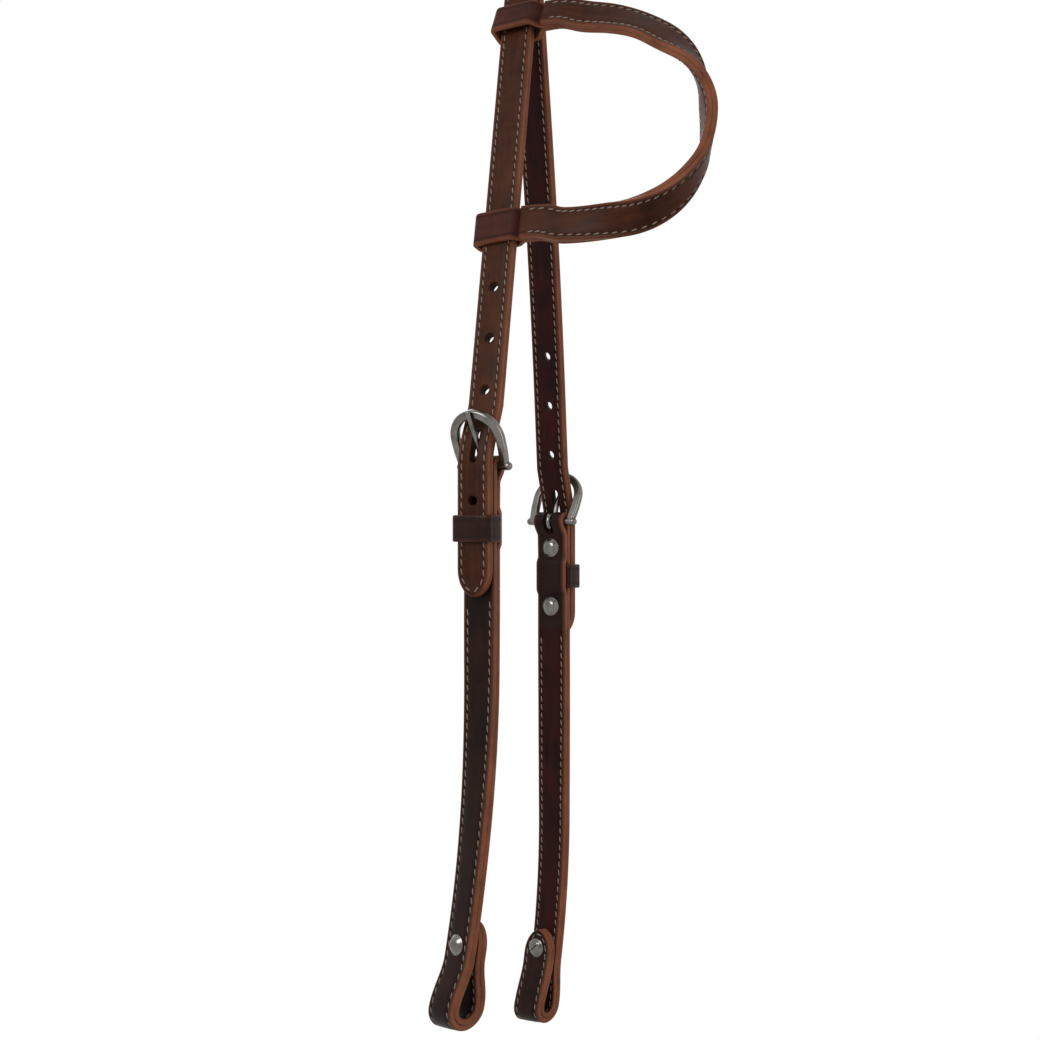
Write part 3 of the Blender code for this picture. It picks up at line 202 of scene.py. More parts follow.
class EarSettings(bpy.types.PropertyGroup):
    """The D-shaped ear strap and its two wraps."""

    width: length("Width", "Width of the ear strap", 16.0)
    upper_width: length("Upper width", "Width of the upper wrap", 14.0)
    upper_down: length("Upper wrap", "Place of the upper wrap down the near leg", 12.5)
    lower_down: length("Lower wrap", "Place of the lower wrap down the near leg", 120.5)
    upper_skew: angle("Upper skew", "Slope of the upper wrap", 14.0)
    room: length("Room", "Room between a wrap and the crown", 0.4)
    side_room: length("Side room", "Side room between a wrap and the crown", 0.8)
    back_skive: length("Back skive", "How much a wrap is skived inside, behind the crown", 0.45)
    corner: length("Corner", "Corner radius of a wrap", 2.3)
    clear: length("Clear", "Where a wrap starts to slope beside the crown", 0.7)
    start: length("Lower start", "Where the lower arm starts across the leg", 14.0)
    upper_start: length("Upper start", "Where the upper arm starts across the leg", 15.5)
    splice: length("Splice", "Length of a wrap's skived end between the layers", 18.0)
    splice_thick: length("Splice thick", "Thickness of the skived end at its root", 1.6)
    splice_thin: length("Splice thin", "Thickness of the skived end at its tip", 0.6)
    splice_ease: length("Splice ease", "Length over which the outer layer settles", 24.0)
    arm: length("Arm", "Straight length of each arm", 22.0)
    arm_rise: length("Arm rise", "How far an arm has turned at its end", 4.0)
    reach: length("Reach", "Reach of the D across the leg", 106.0)
    lowest: length("Lowest", "Lowest place of the D down the leg", 127.0)
    middle_turn: angle("Middle turn", "Twist of the strap at the D's middle", 130.0)
    upper_turn: angle("Upper turn", "Twist of the strap on the upper arm", 40.0)
    fine_steps: count("Steps", "Steps along the D", 150)


class FinishSettings(bpy.types.PropertyGroup):
    """Colours, as sRGB hex."""

    grain: colour("Grain", "Oiled chocolate grain", "#402112")
    grain_dark: colour("Grain, dark", "Grain where the dye lies deepest", "#281309")
    # The cheek colours are the grain darkened, as painted shade on the upright cheeks
    cheek: colour("Cheek", "Oiled grain of the cheek straps", "#24120d")
    cheek_dark: colour("Cheek, dark", "Cheek grain where the dye lies deepest", "#160b08")
    lining: colour("Lining", "Oxblood-tinted lining", "#2b0e0b")
    lining_dark: colour("Lining, dark", "Lining where it is worn smooth", "#150706")
    wrap: colour("Wrap", "Smooth leather of the ear strap's lining and wraps", "#44211a")
    wrap_dark: colour("Wrap, dark", "Wrap leather where the dye lies deepest", "#28130f")
    edge: colour("Edge", "Burnished strap edge", "#744530")
    edge_dark: colour("Edge, dark", "Edge where the dye has run over", "#42241a")
    thread: colour("Thread", "Waxed taupe thread", "#786658")
    thread_dark: colour("Thread, dark", "Thread where it is soiled", "#463a32")
    # Both nickel colours are darkened to grey as a painted reflection of a dark room; the dull one also marks
    # handled patches
    nickel: colour("Nickel", "Buffed nickel plate, greyed by handling", "#74716d")
    nickel_dull: colour("Nickel, dull", "Nickel in its handled patches", "#595652")
    keeper: colour("Keeper", "Polished keeper leather", "#2a130d")
    keeper_dark: colour("Keeper, dark", "Keeper where the dye lies deepest", "#170a07")
    paper: colour("Paper", "Floor", "#f2f1ef")
    paper_shade: colour("Paper, shade", "Floor in the paper's tooth", "#ebeae7")


class StageSettings(bpy.types.PropertyGroup):
    """Camera, floor and lamps."""

    camera_x: length("Camera X", "Place of the camera", 835.6)
    camera_y: length("Camera Y", "Place of the camera", -945.7)
    camera_z: length("Camera Z", "Height of the camera", -249.0)
    camera_azimuth: angle("Azimuth", "Heading of the camera about +Z", 41.56)
    lens: FloatProperty(name="Lens", description="Focal length on a 36 mm sensor", default=91.66)
    floor_drop: length("Floor", "Height of the floor under the headstall", -560.0)
    floor_radius: length("Floor radius", "Radius of the floor", 280.0)
    key_power: watts("Key", "Power of the large lamp at the upper left", 10.0)
    fill_power: watts("Fill", "Power of the lamp at the right", 4.5)
    back_power: watts("Back", "Power of the lamp behind", 3.0)
    sky: share("Sky", "Strength of the even light all round", 0.62)


class HeadstallSettings(bpy.types.PropertyGroup):
    """All the settings of the headstall."""

    strap: PointerProperty(type=StrapSettings, name="Straps", description="Leather and stitching")
    hang: PointerProperty(type=HangSettings, name="Hang", description="How the crown hangs")
    cheek: PointerProperty(type=CheekSettings, name="Cheeks", description="Cheeks and bit loops")
    metal: PointerProperty(type=MetalSettings, name="Metal", description="Buckles and screws")
    ear: PointerProperty(type=EarSettings, name="Ear", description="Ear strap")
    finish: PointerProperty(type=FinishSettings, name="Finish", description="Colours")
    stage: PointerProperty(type=StageSettings, name="Stage", description="Camera and lamps")


class Group:
    """Reads one group of settings of the open scene."""

    def __init__(self, name):
        self.name = name

    def __getattr__(self, key):
        return getattr(getattr(bpy.context.scene.headstall, self.name), key)


strap = Group("strap")
hang = Group("hang")
cheek = Group("cheek")
metal = Group("metal")
ear = Group("ear")
finish = Group("finish")
stage = Group("stage")

SIDES = ("near", "off")
UP = Vector((0.0, 0.0, 1.0))

# Where a strap's rounded tip has its stations, and how blunt it is
TIP_SHARES = (0.0, 0.004, 0.015, 0.035, 0.065, 0.105, 0.155, 0.22, 0.3, 0.4, 0.52, 0.66, 0.82, 1.0)
TIP_POWER = 0.55
TIP_LEAST = 0.02

# Side of the buckle frame, as shares of its widening and of the arc's height
FRAME_SIDE_SHARES = ((0.0, 0.0), (0.2, 0.1), (0.42, 0.22), (0.63, 0.36), (0.8, 0.5), (0.91, 0.65),
                     (0.97, 0.8))

# Line of the D, as shares of its reach and of its lowest place
EAR_LOOP_SHARES = (
    (0.340, 0.983), (0.530, 0.995), (0.680, 0.995), (0.800, 0.968), (0.890, 0.920),
    (0.955, 0.855), (0.990, 0.790), (1.000, 0.700), (0.990, 0.610), (0.950, 0.505),
    (0.880, 0.405), (0.780, 0.315), (0.650, 0.235), (0.500, 0.175), (0.360, 0.140),
)

# Shares of the D's way: where its upper arm stops turning, and where it starts to narrow
UPPER_TURN_SHARE = 0.55
NARROW_FROM = 0.8

# Groove of the stitching, as shares of its half width and of its depth or the strap's rise
CREASE_SHARES = ((1.0, 0.0), (0.55, 0.45), (0.2, 0.95), (-0.2, 0.95), (-0.55, 0.4), (-1.0, -0.35))

# Limits of a sewn layer's roundings, as shares of its thickness and of its half width
OUTER_LIMITS = (0.45, 0.4)
INNER_LIMITS = (0.2, 0.2)
LEAST_SIZE = 0.3
GROOVE_FIT = 0.95
MIDDLE_SHARE = 0.5
MIDDLE_RISE = 0.8

# Half width shares between which a groove fades out at a narrow tip
GROOVE_END = 0.35
GROOVE_FADE = 0.2

# Single layers: limit of the rounding, and places along the front and the back
PLAIN_LIMIT = 0.42
PLAIN_FRONT = (0.72, 0.36)
PLAIN_BACK = (-0.6, 0.0, 0.6)

# Half height of a bead of thread, as a share of the thread's thickness
THREAD_RISE = 0.42

# Rim of a punched hole, as shares of its width: outwards and down
RIM_SHARES = ((1.6, 0.0), (0.62, 0.5), (0.2, 1.0), (0.0, 1.7))

# Burnish value that marks a cut wall, and how far a tool and a cut reach past the leather
RAW_WALL = 2.0
TOOL_OVER = 1.5 * MM
CUT_OVER = 2 * MM

# Where a flat face has its last points before its rounded edge
FLAT_KEEP = 0.85

# How far the first ring of a tongue's tip stands off its end, in steps
TIP_OPEN = 0.35

# Small forms of the screws
DOME_RIM = 0.55 * MM
DOME_STEP = 0.02 * MM
BEVEL = 0.2 * MM
POST_BORE = 1.65 * MM
POST_SHORT = 0.5 * MM
BORE_TOP = 0.15 * MM
SCREW_SHANK = 1.5 * MM
FLAT_SLOT_TURN = 0.6
BIT_SLOT_TURN = math.radians(40)

# Angles past which an edge is drawn sharp
SHARP_EDGE = math.radians(38)
FRAME_SHARP = math.radians(50)
TONGUE_SHARP = math.radians(60)

# Steps of the round forms
POLL_STEPS = 20
BUCKLE_BEND_STEPS = 8
RIDGE_STEPS = 6
FOLD_STEPS = 22
LOOP_EASE_STEPS = 12
LOOP_ARC_STEPS = 27
SHANK_STEPS = 30
EYE_STEPS = 32
CROSSING_TRIES = 60
CURVE_STEPS = 30
WRAP_STEPS = 10
CORNER_STEPS = 8
PUNCH_SIDES = 32
HALF_BACK_STEPS = 6
KEEPER_CORNER_STEPS = 7
DOME_STEPS = 10
BAR_ROUND_STEPS = 6
FRAME_ARC_STEPS = 48
KNOB_STEPS = 8
TIP_STEPS = 6
TONGUE_SIDES = 24
LATHE_STEPS = 48
BAR_LATHE_STEPS = 32
BEAD_SIDES = 8
BEAD_RINGS = 6
FLOOR_SIDES = 96

# Lamps: name, place from the camera's point of view, size, and the setting of its power
LAMPS = (
    ("key_lamp", (-0.75, -0.85, 0.65), (0.65, 0.65), "key_power"),
    ("fill_lamp", (1.1, -0.35, 0.15), (0.3, 1.0), "fill_power"),
    ("back_lamp", (-0.4, 1.1, 0.5), (0.8, 0.8), "back_power"),
)


# Small sums

def ease(part):
    """Share from 0 to 1 with a slow start and a slow end."""
    return 0.5 - 0.5 * math.cos(math.pi * min(1.0, max(0.0, part)))


def mix(a, b, part):
    return a + (b - a) * part


def turn():
    return Matrix.Rotation(hang.bench_turn, 3, 'Z')


def crown_half():
    return strap.gap / 2 + strap.crown_layer


def cheek_half():
    return strap.gap / 2 + strap.cheek_layer


def bar_w():
    """Distance of the heel bar's middle behind the cheek's outer face."""
    return -(strap.cheek_layer + strap.gap + metal.bar)


def lap_back():
    """Back of the cheek's two layers, measured from its outer face."""
    return -(2 * strap.cheek_layer + strap.gap)


def bit_back():
    """Back of the four layers at the bit screw, measured from the outer face."""
    return -(4 * strap.cheek_layer + 3 * strap.gap)


def level_across(twist):
    """Level direction across a strap that is turned about +Z."""
    return Vector((math.cos(twist), -math.sin(twist), 0.0))


def axes_matrix(x_axis, y_axis, z_axis, place):
    """Matrix that has these local axes, at a place."""
    result = Matrix((x_axis, y_axis, z_axis)).transposed().to_4x4()
    result.translation = place
    return result


def slopes(points):
    """Unit directions along a row of 2D points."""
    last = len(points) - 1
    return [(Vector(points[min(i + 1, last)]) - Vector(points[max(i - 1, 0)])).normalized()
            for i in range(len(points))]


def distances(points):
    """Distance along a row of points, up to each of them."""
    runs = [0.0]
    for a, b in zip(points, points[1:]):
        runs.append(runs[-1] + (Vector(b) - Vector(a)).length)
    return runs


def locate(runs, run, shortest=0.0):
    """Step of a row of distances that a distance falls in, and its share of that step."""
    i = min(max(bisect.bisect_right(runs, run) - 1, 0), len(runs) - 2)
    return i, (run - runs[i]) / max(runs[i + 1] - runs[i], shortest)


def arc(centre, radius, start, swept, steps):
    """Points of a round bend about a centre."""
    points = []
    for i in range(steps + 1):
        bend = start + swept * i / steps
        points.append((centre[0] + radius * math.cos(bend), centre[1] + radius * math.sin(bend)))
    return points


def eased_line(start, end, steps):
    """Points from start to end: the first value is eased and the second is even."""
    return [(mix(start[0], end[0], ease(i / steps)), mix(start[1], end[1], i / steps))
            for i in range(steps + 1)]


def tip_half(half, distance):
    """Half width of a strap at a distance from its rounded tip."""
    part = min(1.0, max(distance / strap.tip_length, 0.0))
    return half * max(TIP_LEAST, (1.0 - (1.0 - part) ** 2) ** TIP_POWER)


def fine_count(distance):
    return max(1, math.ceil(distance / strap.fine_step))


def straight(w, start, end):
    """Places of a straight stretch, without its last one."""
    steps = fine_count(abs(start - end))
    return [(w, mix(start, end, i / steps)) for i in range(steps)]


# Routes of the straps

class Station:
    """One cross section of a strap: place, directions, limits and distance along it."""

    def __init__(self, point, across, out, half, low, high, travel=0.0, crease=1.0):
        self.point = point
        self.across = across.normalized()
        self.out = out.normalized()
        self.half = half
        self.low = low
        self.high = high
        self.travel = travel
        self.crease = crease


def measure(stations):
    """Number the stations by the distance along the strap."""
    for station, run in zip(stations, distances([station.point for station in stations])):
        station.travel = run
    return stations


class Walk:
    """A line walked in one plane from the poll outwards and down."""

    def __init__(self, height):
        self.spread = 0.0
        self.height = height
        self.heading = 0.0
        self.travel = 0.0
        self.marks = []
        self.mark()

    def mark(self):
        self.marks.append((self.spread, self.height, self.heading, self.travel))

    def step(self, chord, heading, travel, bend):
        """Go one straight step on a heading, along which the strap covers a distance and bends."""
        self.spread += math.cos(heading) * chord
        self.height -= math.sin(heading) * chord
        self.heading += bend
        self.travel += travel
        self.mark()

    def run(self, distance):
        steps = fine_count(distance)
        for _ in range(steps):
            self.step(distance / steps, self.heading, distance / steps, 0.0)

    def bend(self, radius, bend_angle, least=1):
        steps = max(least, fine_count(radius * bend_angle))
        part = bend_angle / steps
        for _ in range(steps):
            self.step(2 * radius * math.sin(part / 2), self.heading + part / 2, radius * part, part)


class CrownLeg:
    """One leg of the crown strap: a line from the poll down to the billet's tip."""

    def __init__(self, sign, top_tilt, low_tilt):
        self.sign = sign
        self.low_tilt = low_tilt
        walk = Walk(crown_half())
        walk.bend(hang.poll_radius + crown_half(), math.pi / 2 - top_tilt, POLL_STEPS)
        self.top_end = walk.marks[-1]
        if top_tilt == low_tilt:
            walk.run(hang.near_length)
        else:
            walk.run(hang.off_top_length)
            spring = top_tilt - low_tilt
            walk.bend(hang.off_spring_length / spring, spring)
            walk.run(hang.off_low_length)
        self.zone_top = walk.marks[-1]
        walk.bend(hang.buckle_bend, low_tilt, BUCKLE_BEND_STEPS)
        self.billet_top = walk.marks[-1]
        self.heel_height = walk.height + hang.bend_below_heel
        self.heel_spread = walk.spread
        walk.run(cheek.billet - hang.bend_below_heel - strap.tip_length)
        last = 1.0
        for part in reversed(TIP_SHARES[:-1]):
            walk.run(strap.tip_length * (last - part))
            last = part
        self.marks = walk.marks
        self.end_travel = walk.travel

    def drift(self, spread, height):
        """How far the leg's middle lies along X, which centres it in its buckle."""
        slope = math.tan(hang.crown_twist)
        if height - self.heel_height <= hang.buckle_zone:
            return hang.heel_drift - self.sign * slope * (self.heel_spread - spread)
        zone_height = self.heel_height + hang.buckle_zone
        inward = self.heel_spread - self.spread_at(zone_height)
        return (hang.heel_drift - self.sign * slope * inward) * height / zone_height

    def spread_at(self, height):
        for a, b in zip(self.marks, self.marks[1:]):
            if b[1] <= height < a[1]:
                return mix(a[0], b[0], (a[1] - height) / (a[1] - b[1]))
        return self.heel_spread

    def frame(self, mark):
        """Place and outward direction of a mark on the leg."""
        spread, height, heading, _ = mark
        place = Vector((self.drift(spread, height), self.sign * spread, height))
        along = Vector((0.0, self.sign * math.cos(heading), -math.sin(heading)))
        out = along.cross(level_across(hang.crown_twist)) * -self.sign
        return turn() @ place, (turn() @ out).normalized()

    def at(self, travel):
        """Place and outward direction at a distance from the poll."""
        i, part = locate([mark[3] for mark in self.marks], travel)
        return self.frame(tuple(mix(a, b, part) for a, b in zip(self.marks[i], self.marks[i + 1])))

    def stations(self, low, high):
        result = []
        for mark in self.marks:
            place, out = self.frame(mark)
            half = tip_half(strap.width / 2, self.end_travel - mark[3])
            result.append(Station(place, crown_across(), out, half, low, high, self.sign * mark[3]))
        return result


def crown_across():
    return turn() @ level_across(hang.crown_twist)


def near_leg():
    return CrownLeg(-1, hang.near_tilt, hang.near_tilt)


def off_leg():
    return CrownLeg(1, hang.off_top_tilt, hang.off_low_tilt)


class Cheek:
    """Local frame of one cheek: height, distance out from its face, and across."""

    def __init__(self, side):
        self.side = side
        self.leg = near_leg() if side == "near" else off_leg()
        self.sign = self.leg.sign
        self.heel = self.leg.heel_height
        self.opening, self.low_twist, self.sway, drop, sway_start = (
            getattr(cheek, f"{side}_{key}") for key in ("open", "twist", "sway", "drop", "sway_start"))
        self.bottom = self.heel - drop
        self.sway_start = self.heel - drop * sway_start
        self.free_start = self.heel - cheek.billet - strap.tip_length / 3
        billet = Vector((hang.heel_drift, self.sign * self.leg.heel_spread, self.heel))
        self.top = billet - self.flat_out(self.heel) * (crown_half() + strap.gap)

    def twist(self, height):
        end = self.bottom + cheek.loop_steady
        part = (self.free_start - height) / (self.free_start - end)
        return mix(hang.crown_twist, self.low_twist, ease(part))

    def flat_out(self, height):
        twist = self.twist(height)
        return Vector((math.sin(twist), math.cos(twist), 0.0)) * self.sign

    def out(self, height):
        return turn() @ self.flat_out(height)

    def across(self, height):
        return turn() @ level_across(self.twist(height))

    def place(self, w, height, x=0.0):
        leaning = cheek.lean * max(0.0, self.free_start - height) / (self.free_start - self.bottom)
        swung = max(0.0, self.sway_start - height) / (self.sway_start - self.bottom)
        line = Vector((self.top.x - self.sway * swung ** 2, self.top.y + self.sign * leaning, height))
        across = level_across(self.twist(height))
        return turn() @ (line + self.flat_out(height) * w + across * x)

    def matrix(self, lean=0.0):
        """Local X across, Z up, Y inwards, on the heel bar's middle, leant outwards."""
        x_axis = self.across(self.heel) * -self.sign
        z_axis = UP * math.cos(lean) + self.out(self.heel) * math.sin(lean)
        return axes_matrix(x_axis, z_axis.cross(x_axis), z_axis, self.place(bar_w(), self.heel))

    def screw_matrix(self, w, height, facing):
        """Local Z square to the strap: out of it (facing 1) or to its back (facing -1)."""
        x_axis = self.across(height)
        span = strap.fine_step
        along = self.place(0.0, height + span) - self.place(0.0, height - span)
        normal = along.cross(x_axis).normalized()
        if normal.dot(self.out(height)) < 0:
            normal = -normal
        z_axis = normal * facing
        x_axis = (x_axis - z_axis * x_axis.dot(z_axis)).normalized()
        return axes_matrix(x_axis, z_axis.cross(x_axis), z_axis, self.place(0.0, height) + normal * w)

    def strip(self, line, thickness, crease_from=0.0):
        """Stations of one layer along a row of (w, height) places of its middle."""
        travelled = distances(line)
        result = []
        for (w, height), slope, run in zip(line, slopes(line), travelled):
            out = self.out(height) * -slope[1] + UP * slope[0]
            half = tip_half(strap.width / 2, travelled[-1] - run)
            creased = ease((run - crease_from) / strap.tip_length) if crease_from else 1.0
            result.append(Station(self.place(w, height), self.across(height), out, half,
                                  -thickness / 2, thickness / 2, run, creased))
        return result


def fold_line(side):
    """Middle of the outer layer from its lap's end up the back and over the heel bar."""
    flush = -(strap.cheek_layer * 1.5 + strap.gap)
    fold_radius = metal.bar + strap.gap + strap.cheek_layer / 2
    ridge = flush - (cheek.keeper_skive + strap.gap)
    keeper = side.heel - cheek.keeper_drop
    ridge_low = keeper - cheek.keeper_width / 2 - strap.gap
    ridge_high = keeper + cheek.keeper_width / 2 + strap.gap
    lap_end = side.heel - cheek.lap - (strap.gap - strap.seam) / 2
    rise_start = ridge_low - cheek.ridge_run
    line = straight(flush, lap_end, rise_start)
    line += eased_line((flush, rise_start), (ridge, ridge_low), RIDGE_STEPS)
    line += straight(ridge, ridge_low, ridge_high)[1:]
    line += eased_line((ridge, ridge_high), (flush, ridge_high + cheek.ridge_run), RIDGE_STEPS)
    line += eased_line((flush, side.heel - cheek.fold_settle), (bar_w() - fold_radius, side.heel),
                       RIDGE_STEPS)[1:]
    return line + arc((bar_w(), side.heel), fold_radius, math.pi, -math.pi, FOLD_STEPS)[1:]


def loop_line(side, shift):
    """Middle of one layer round the bit loop, shifted out from the seam."""
    closed = cheek_half() + strap.gap / 2
    wide = side.opening / 2 + cheek_half()
    middle = -(cheek_half() + closed)
    side_height = side.bottom + cheek_half() + wide
    close_height = side.bottom + cheek.loop_close
    seam = eased_line((middle + closed, close_height), (middle + wide, side_height), LOOP_EASE_STEPS)[:-1]
    seam += arc((middle, side_height), wide, 0.0, -math.pi, LOOP_ARC_STEPS)
    seam += eased_line((middle - wide, side_height), (middle - closed, close_height), LOOP_EASE_STEPS)[1:]
    tip = side.bottom + cheek.bit_lap
    seam += straight(middle - closed, close_height, tip - strap.tip_length)[1:]
    seam += [(middle - closed, tip - strap.tip_length * part) for part in reversed(TIP_SHARES)]
    return [(spot[0] - slope[1] * shift, spot[1] + slope[0] * shift)
            for spot, slope in zip(seam, slopes(seam))]


def outer_line(side):
    """Middle of the cheek's outer layer, and where its stitching starts."""
    seam_top = side.heel - cheek.lap - strap.gap
    line = fold_line(side)
    line += straight(-strap.cheek_layer / 2, side.heel, side.bottom + cheek.loop_close)[1:]
    folded = len([spot for spot in line if spot[1] >= seam_top])
    line += loop_line(side, cheek_half() - strap.cheek_layer / 2)
    return line, distances(line[:folded])[-1]


def lining_line(side):
    """Middle of the cheek's inner layer."""
    back = -(strap.cheek_layer * 1.5 + strap.gap)
    seam_top = side.heel - cheek.lap - (strap.gap + strap.seam) / 2
    line = straight(back, seam_top, side.bottom + cheek.loop_close)
    return line + loop_line(side, strap.cheek_layer / 2 - cheek_half())


def frame_lean(leg):
    """Outward lean of the buckle frame that rests it on the billet behind its arc."""
    inner = metal.arc_radius - metal.frame_width / 2
    passing = min(strap.width / 2 + strap.gap, inner)
    contact = metal.arc_height + math.sqrt(inner ** 2 - passing ** 2)
    slope = math.atan(math.tan(leg.low_tilt) / math.cos(hang.crown_twist))
    rise = hang.buckle_bend * math.sin(leg.low_tilt) - hang.bend_below_heel
    inward = hang.buckle_bend * (1 - math.cos(leg.low_tilt)) / math.cos(hang.crown_twist)
    face_w = crown_half() + strap.gap - inward + crown_half() * math.cos(slope)
    face_up = rise + crown_half() * math.sin(slope)
    need = strap.gap + face_up * math.sin(slope) + (face_w - bar_w()) * math.cos(slope)
    half = metal.frame_thickness / 2
    return math.asin(need / math.hypot(contact, half)) + math.atan2(half, contact) - slope


def shank_line(lean):
    """Places (out, up) and radii of the tongue's middle from its tip down to its eye."""
    eye = metal.bar + metal.bore_gap + metal.tongue
    rest = metal.frame_thickness / 2 + strap.gap + metal.tongue_tip
    top = metal.arc_height + metal.arc_radius + metal.tongue_over
    along = Vector((math.sin(lean), math.cos(lean)))
    away = Vector((math.cos(lean), -math.sin(lean)))
    tip = along * top + away * rest
    root = Vector((eye, metal.tongue_rise))
    handle = (tip - root).length / 3
    a, b, c, d = tip, tip - along * handle, root + Vector((0.0, handle)), root
    line = []
    for i in range(SHANK_STEPS + 1):
        t = i / SHANK_STEPS
        spot = a * (1 - t) ** 3 + b * 3 * t * (1 - t) ** 2 + c * 3 * t ** 2 * (1 - t) + d * t ** 3
        line.append((spot, mix(metal.tongue_tip, metal.tongue, min(1.0, 2 * t))))
    return line


def tongue_line(lean):
    """Places and radii of the tongue's middle: its shank, and its eye round the bar."""
    radius = metal.bar + metal.bore_gap + metal.tongue
    eye = arc((0.0, 0.0), radius, 0.0, -metal.eye_sweep, EYE_STEPS)
    return shank_line(lean) + [(Vector(spot), metal.tongue) for spot in eye]


def tongue_travel(side):
    """Distance along the crown leg where the tongue's middle crosses the seam."""
    matrix = side.matrix()
    shank = [matrix @ Vector((0.0, -spot[0], spot[1])) for spot, _ in shank_line(frame_lean(side.leg))]
    first = side.leg.zone_top[3] - hang.buckle_zone / 3
    travels = [mix(first, side.leg.billet_top[3], i / CROSSING_TRIES) for i in range(CROSSING_TRIES + 1)]
    return min(travels, key=lambda travel: min((side.leg.at(travel)[0] - spot).length for spot in shank))


# Route of the ear strap

class EarPlane:
    """Plane of the near crown leg: across it (x), down it (d) and out of it (o)."""

    def __init__(self):
        leg = near_leg()
        self.origin, self.out = leg.frame(leg.top_end)
        self.down = (leg.frame(leg.zone_top)[0] - self.origin).normalized()
        self.across = self.out.cross(self.down)
        if self.across.dot(crown_across()) < 0:
            self.across = -self.across
        self.across.normalize()

    def place(self, x, d, o=0.0):
        return self.origin + self.across * x + self.down * d + self.out * o


def smooth_points(points, steps):
    """Catmull-Rom curve through 2D points, sampled evenly along its length."""
    knots = [Vector(point) for point in (points[0], *points, points[-1])]
    dense = []
    for p0, p1, p2, p3 in zip(knots, knots[1:], knots[2:], knots[3:]):
        for k in range(CURVE_STEPS):
            t = k / CURVE_STEPS
            dense.append((p1 * 2 + (p2 - p0) * t + (p0 * 2 - p1 * 5 + p2 * 4 - p3) * t * t
                          + (p1 * 3 - p0 - p2 * 3 + p3) * t * t * t) / 2)
    dense.append(knots[-1])
    runs = distances(dense)
    result = []
    for k in range(steps + 1):
        i, part = locate(runs, runs[-1] * k / steps)
        result.append(dense[i].lerp(dense[i + 1], min(part, 1.0)))
    return result


class EarLoop:
    """Seam line of the ear strap from the lower wrap round the D to the upper wrap."""

    def __init__(self, plane):
        self.plane = plane
        knots = [(ear.start, ear.lower_down), (ear.start + ear.arm / 2, ear.lower_down + ear.arm_rise / 4)]
        knots += [(ear.reach * x, ear.lowest * d) for x, d in EAR_LOOP_SHARES]
        knots += [(ear.upper_start + ear.arm / 2, ear.upper_down + ear.arm_rise / 4),
                  (ear.upper_start, ear.upper_down)]
        self.points = smooth_points(knots, ear.fine_steps)
        self.slopes = slopes(self.points)
        self.slopes[0] = Vector((1.0, 0.0))
        self.slopes[-1] = Vector((-1.0, 0.0))
        self.runs = distances(self.points)
        self.total = self.runs[-1]

    def turn(self, run):
        """Twist of the strap out of the plane: least at the wraps, most at the middle."""
        part = (run - ear.splice) / (self.total - 2 * ear.splice)
        if part < 0.5:
            return ear.middle_turn * ease(part * 2)
        late = (part - 0.5) * 2
        if late < UPPER_TURN_SHARE:
            return mix(ear.middle_turn, ear.upper_turn, ease(late / UPPER_TURN_SHARE))
        part = (late - UPPER_TURN_SHARE) / (1.0 - UPPER_TURN_SHARE)
        return mix(ear.upper_turn, ear.upper_skew, ease(part))

    def directions(self, i):
        slope = self.slopes[i]
        along = self.plane.across * slope[0] + self.plane.down * slope[1]
        side = self.plane.across * slope[1] - self.plane.down * slope[0]
        twist = self.turn(self.runs[i])
        across = side * math.cos(twist) + self.plane.out * math.sin(twist)
        out = along.cross(across)
        if self.plane.out.dot(along.cross(side)) < 0:
            out = -out
        return across, out

    def width(self, i):
        part = (self.runs[i] / self.total - NARROW_FROM) / (1.0 - NARROW_FROM)
        return mix(ear.width, ear.upper_width, ease(part))

    def splice(self, runs):
        """Stations of a wrap's skived end, at distances from its root between the arm's layers."""
        result = []
        for i, run in enumerate(runs):
            if run <= ear.splice:
                low = strap.seam / 2
                result.append(Station(self.plane.place(*self.points[i]), *self.directions(i),
                                      self.width(i) / 2, low, low + splice_thickness(run), 0.0, 0.0))
        return list(reversed(result))

    def lower_splice(self):
        return self.splice(self.runs)

    def upper_splice(self):
        return self.splice([self.total - run for run in self.runs])


def splice_thickness(run):
    return mix(ear.splice_thick, ear.splice_thin, min(1.0, max(0.0, run / ear.splice)))


def splice_lift(run):
    """How far the outer layer is lifted by the skived end that lies under it."""
    lift = splice_thickness(run) + strap.gap
    return mix(lift, 0.0, ease((run - ear.splice) / ear.splice_ease))


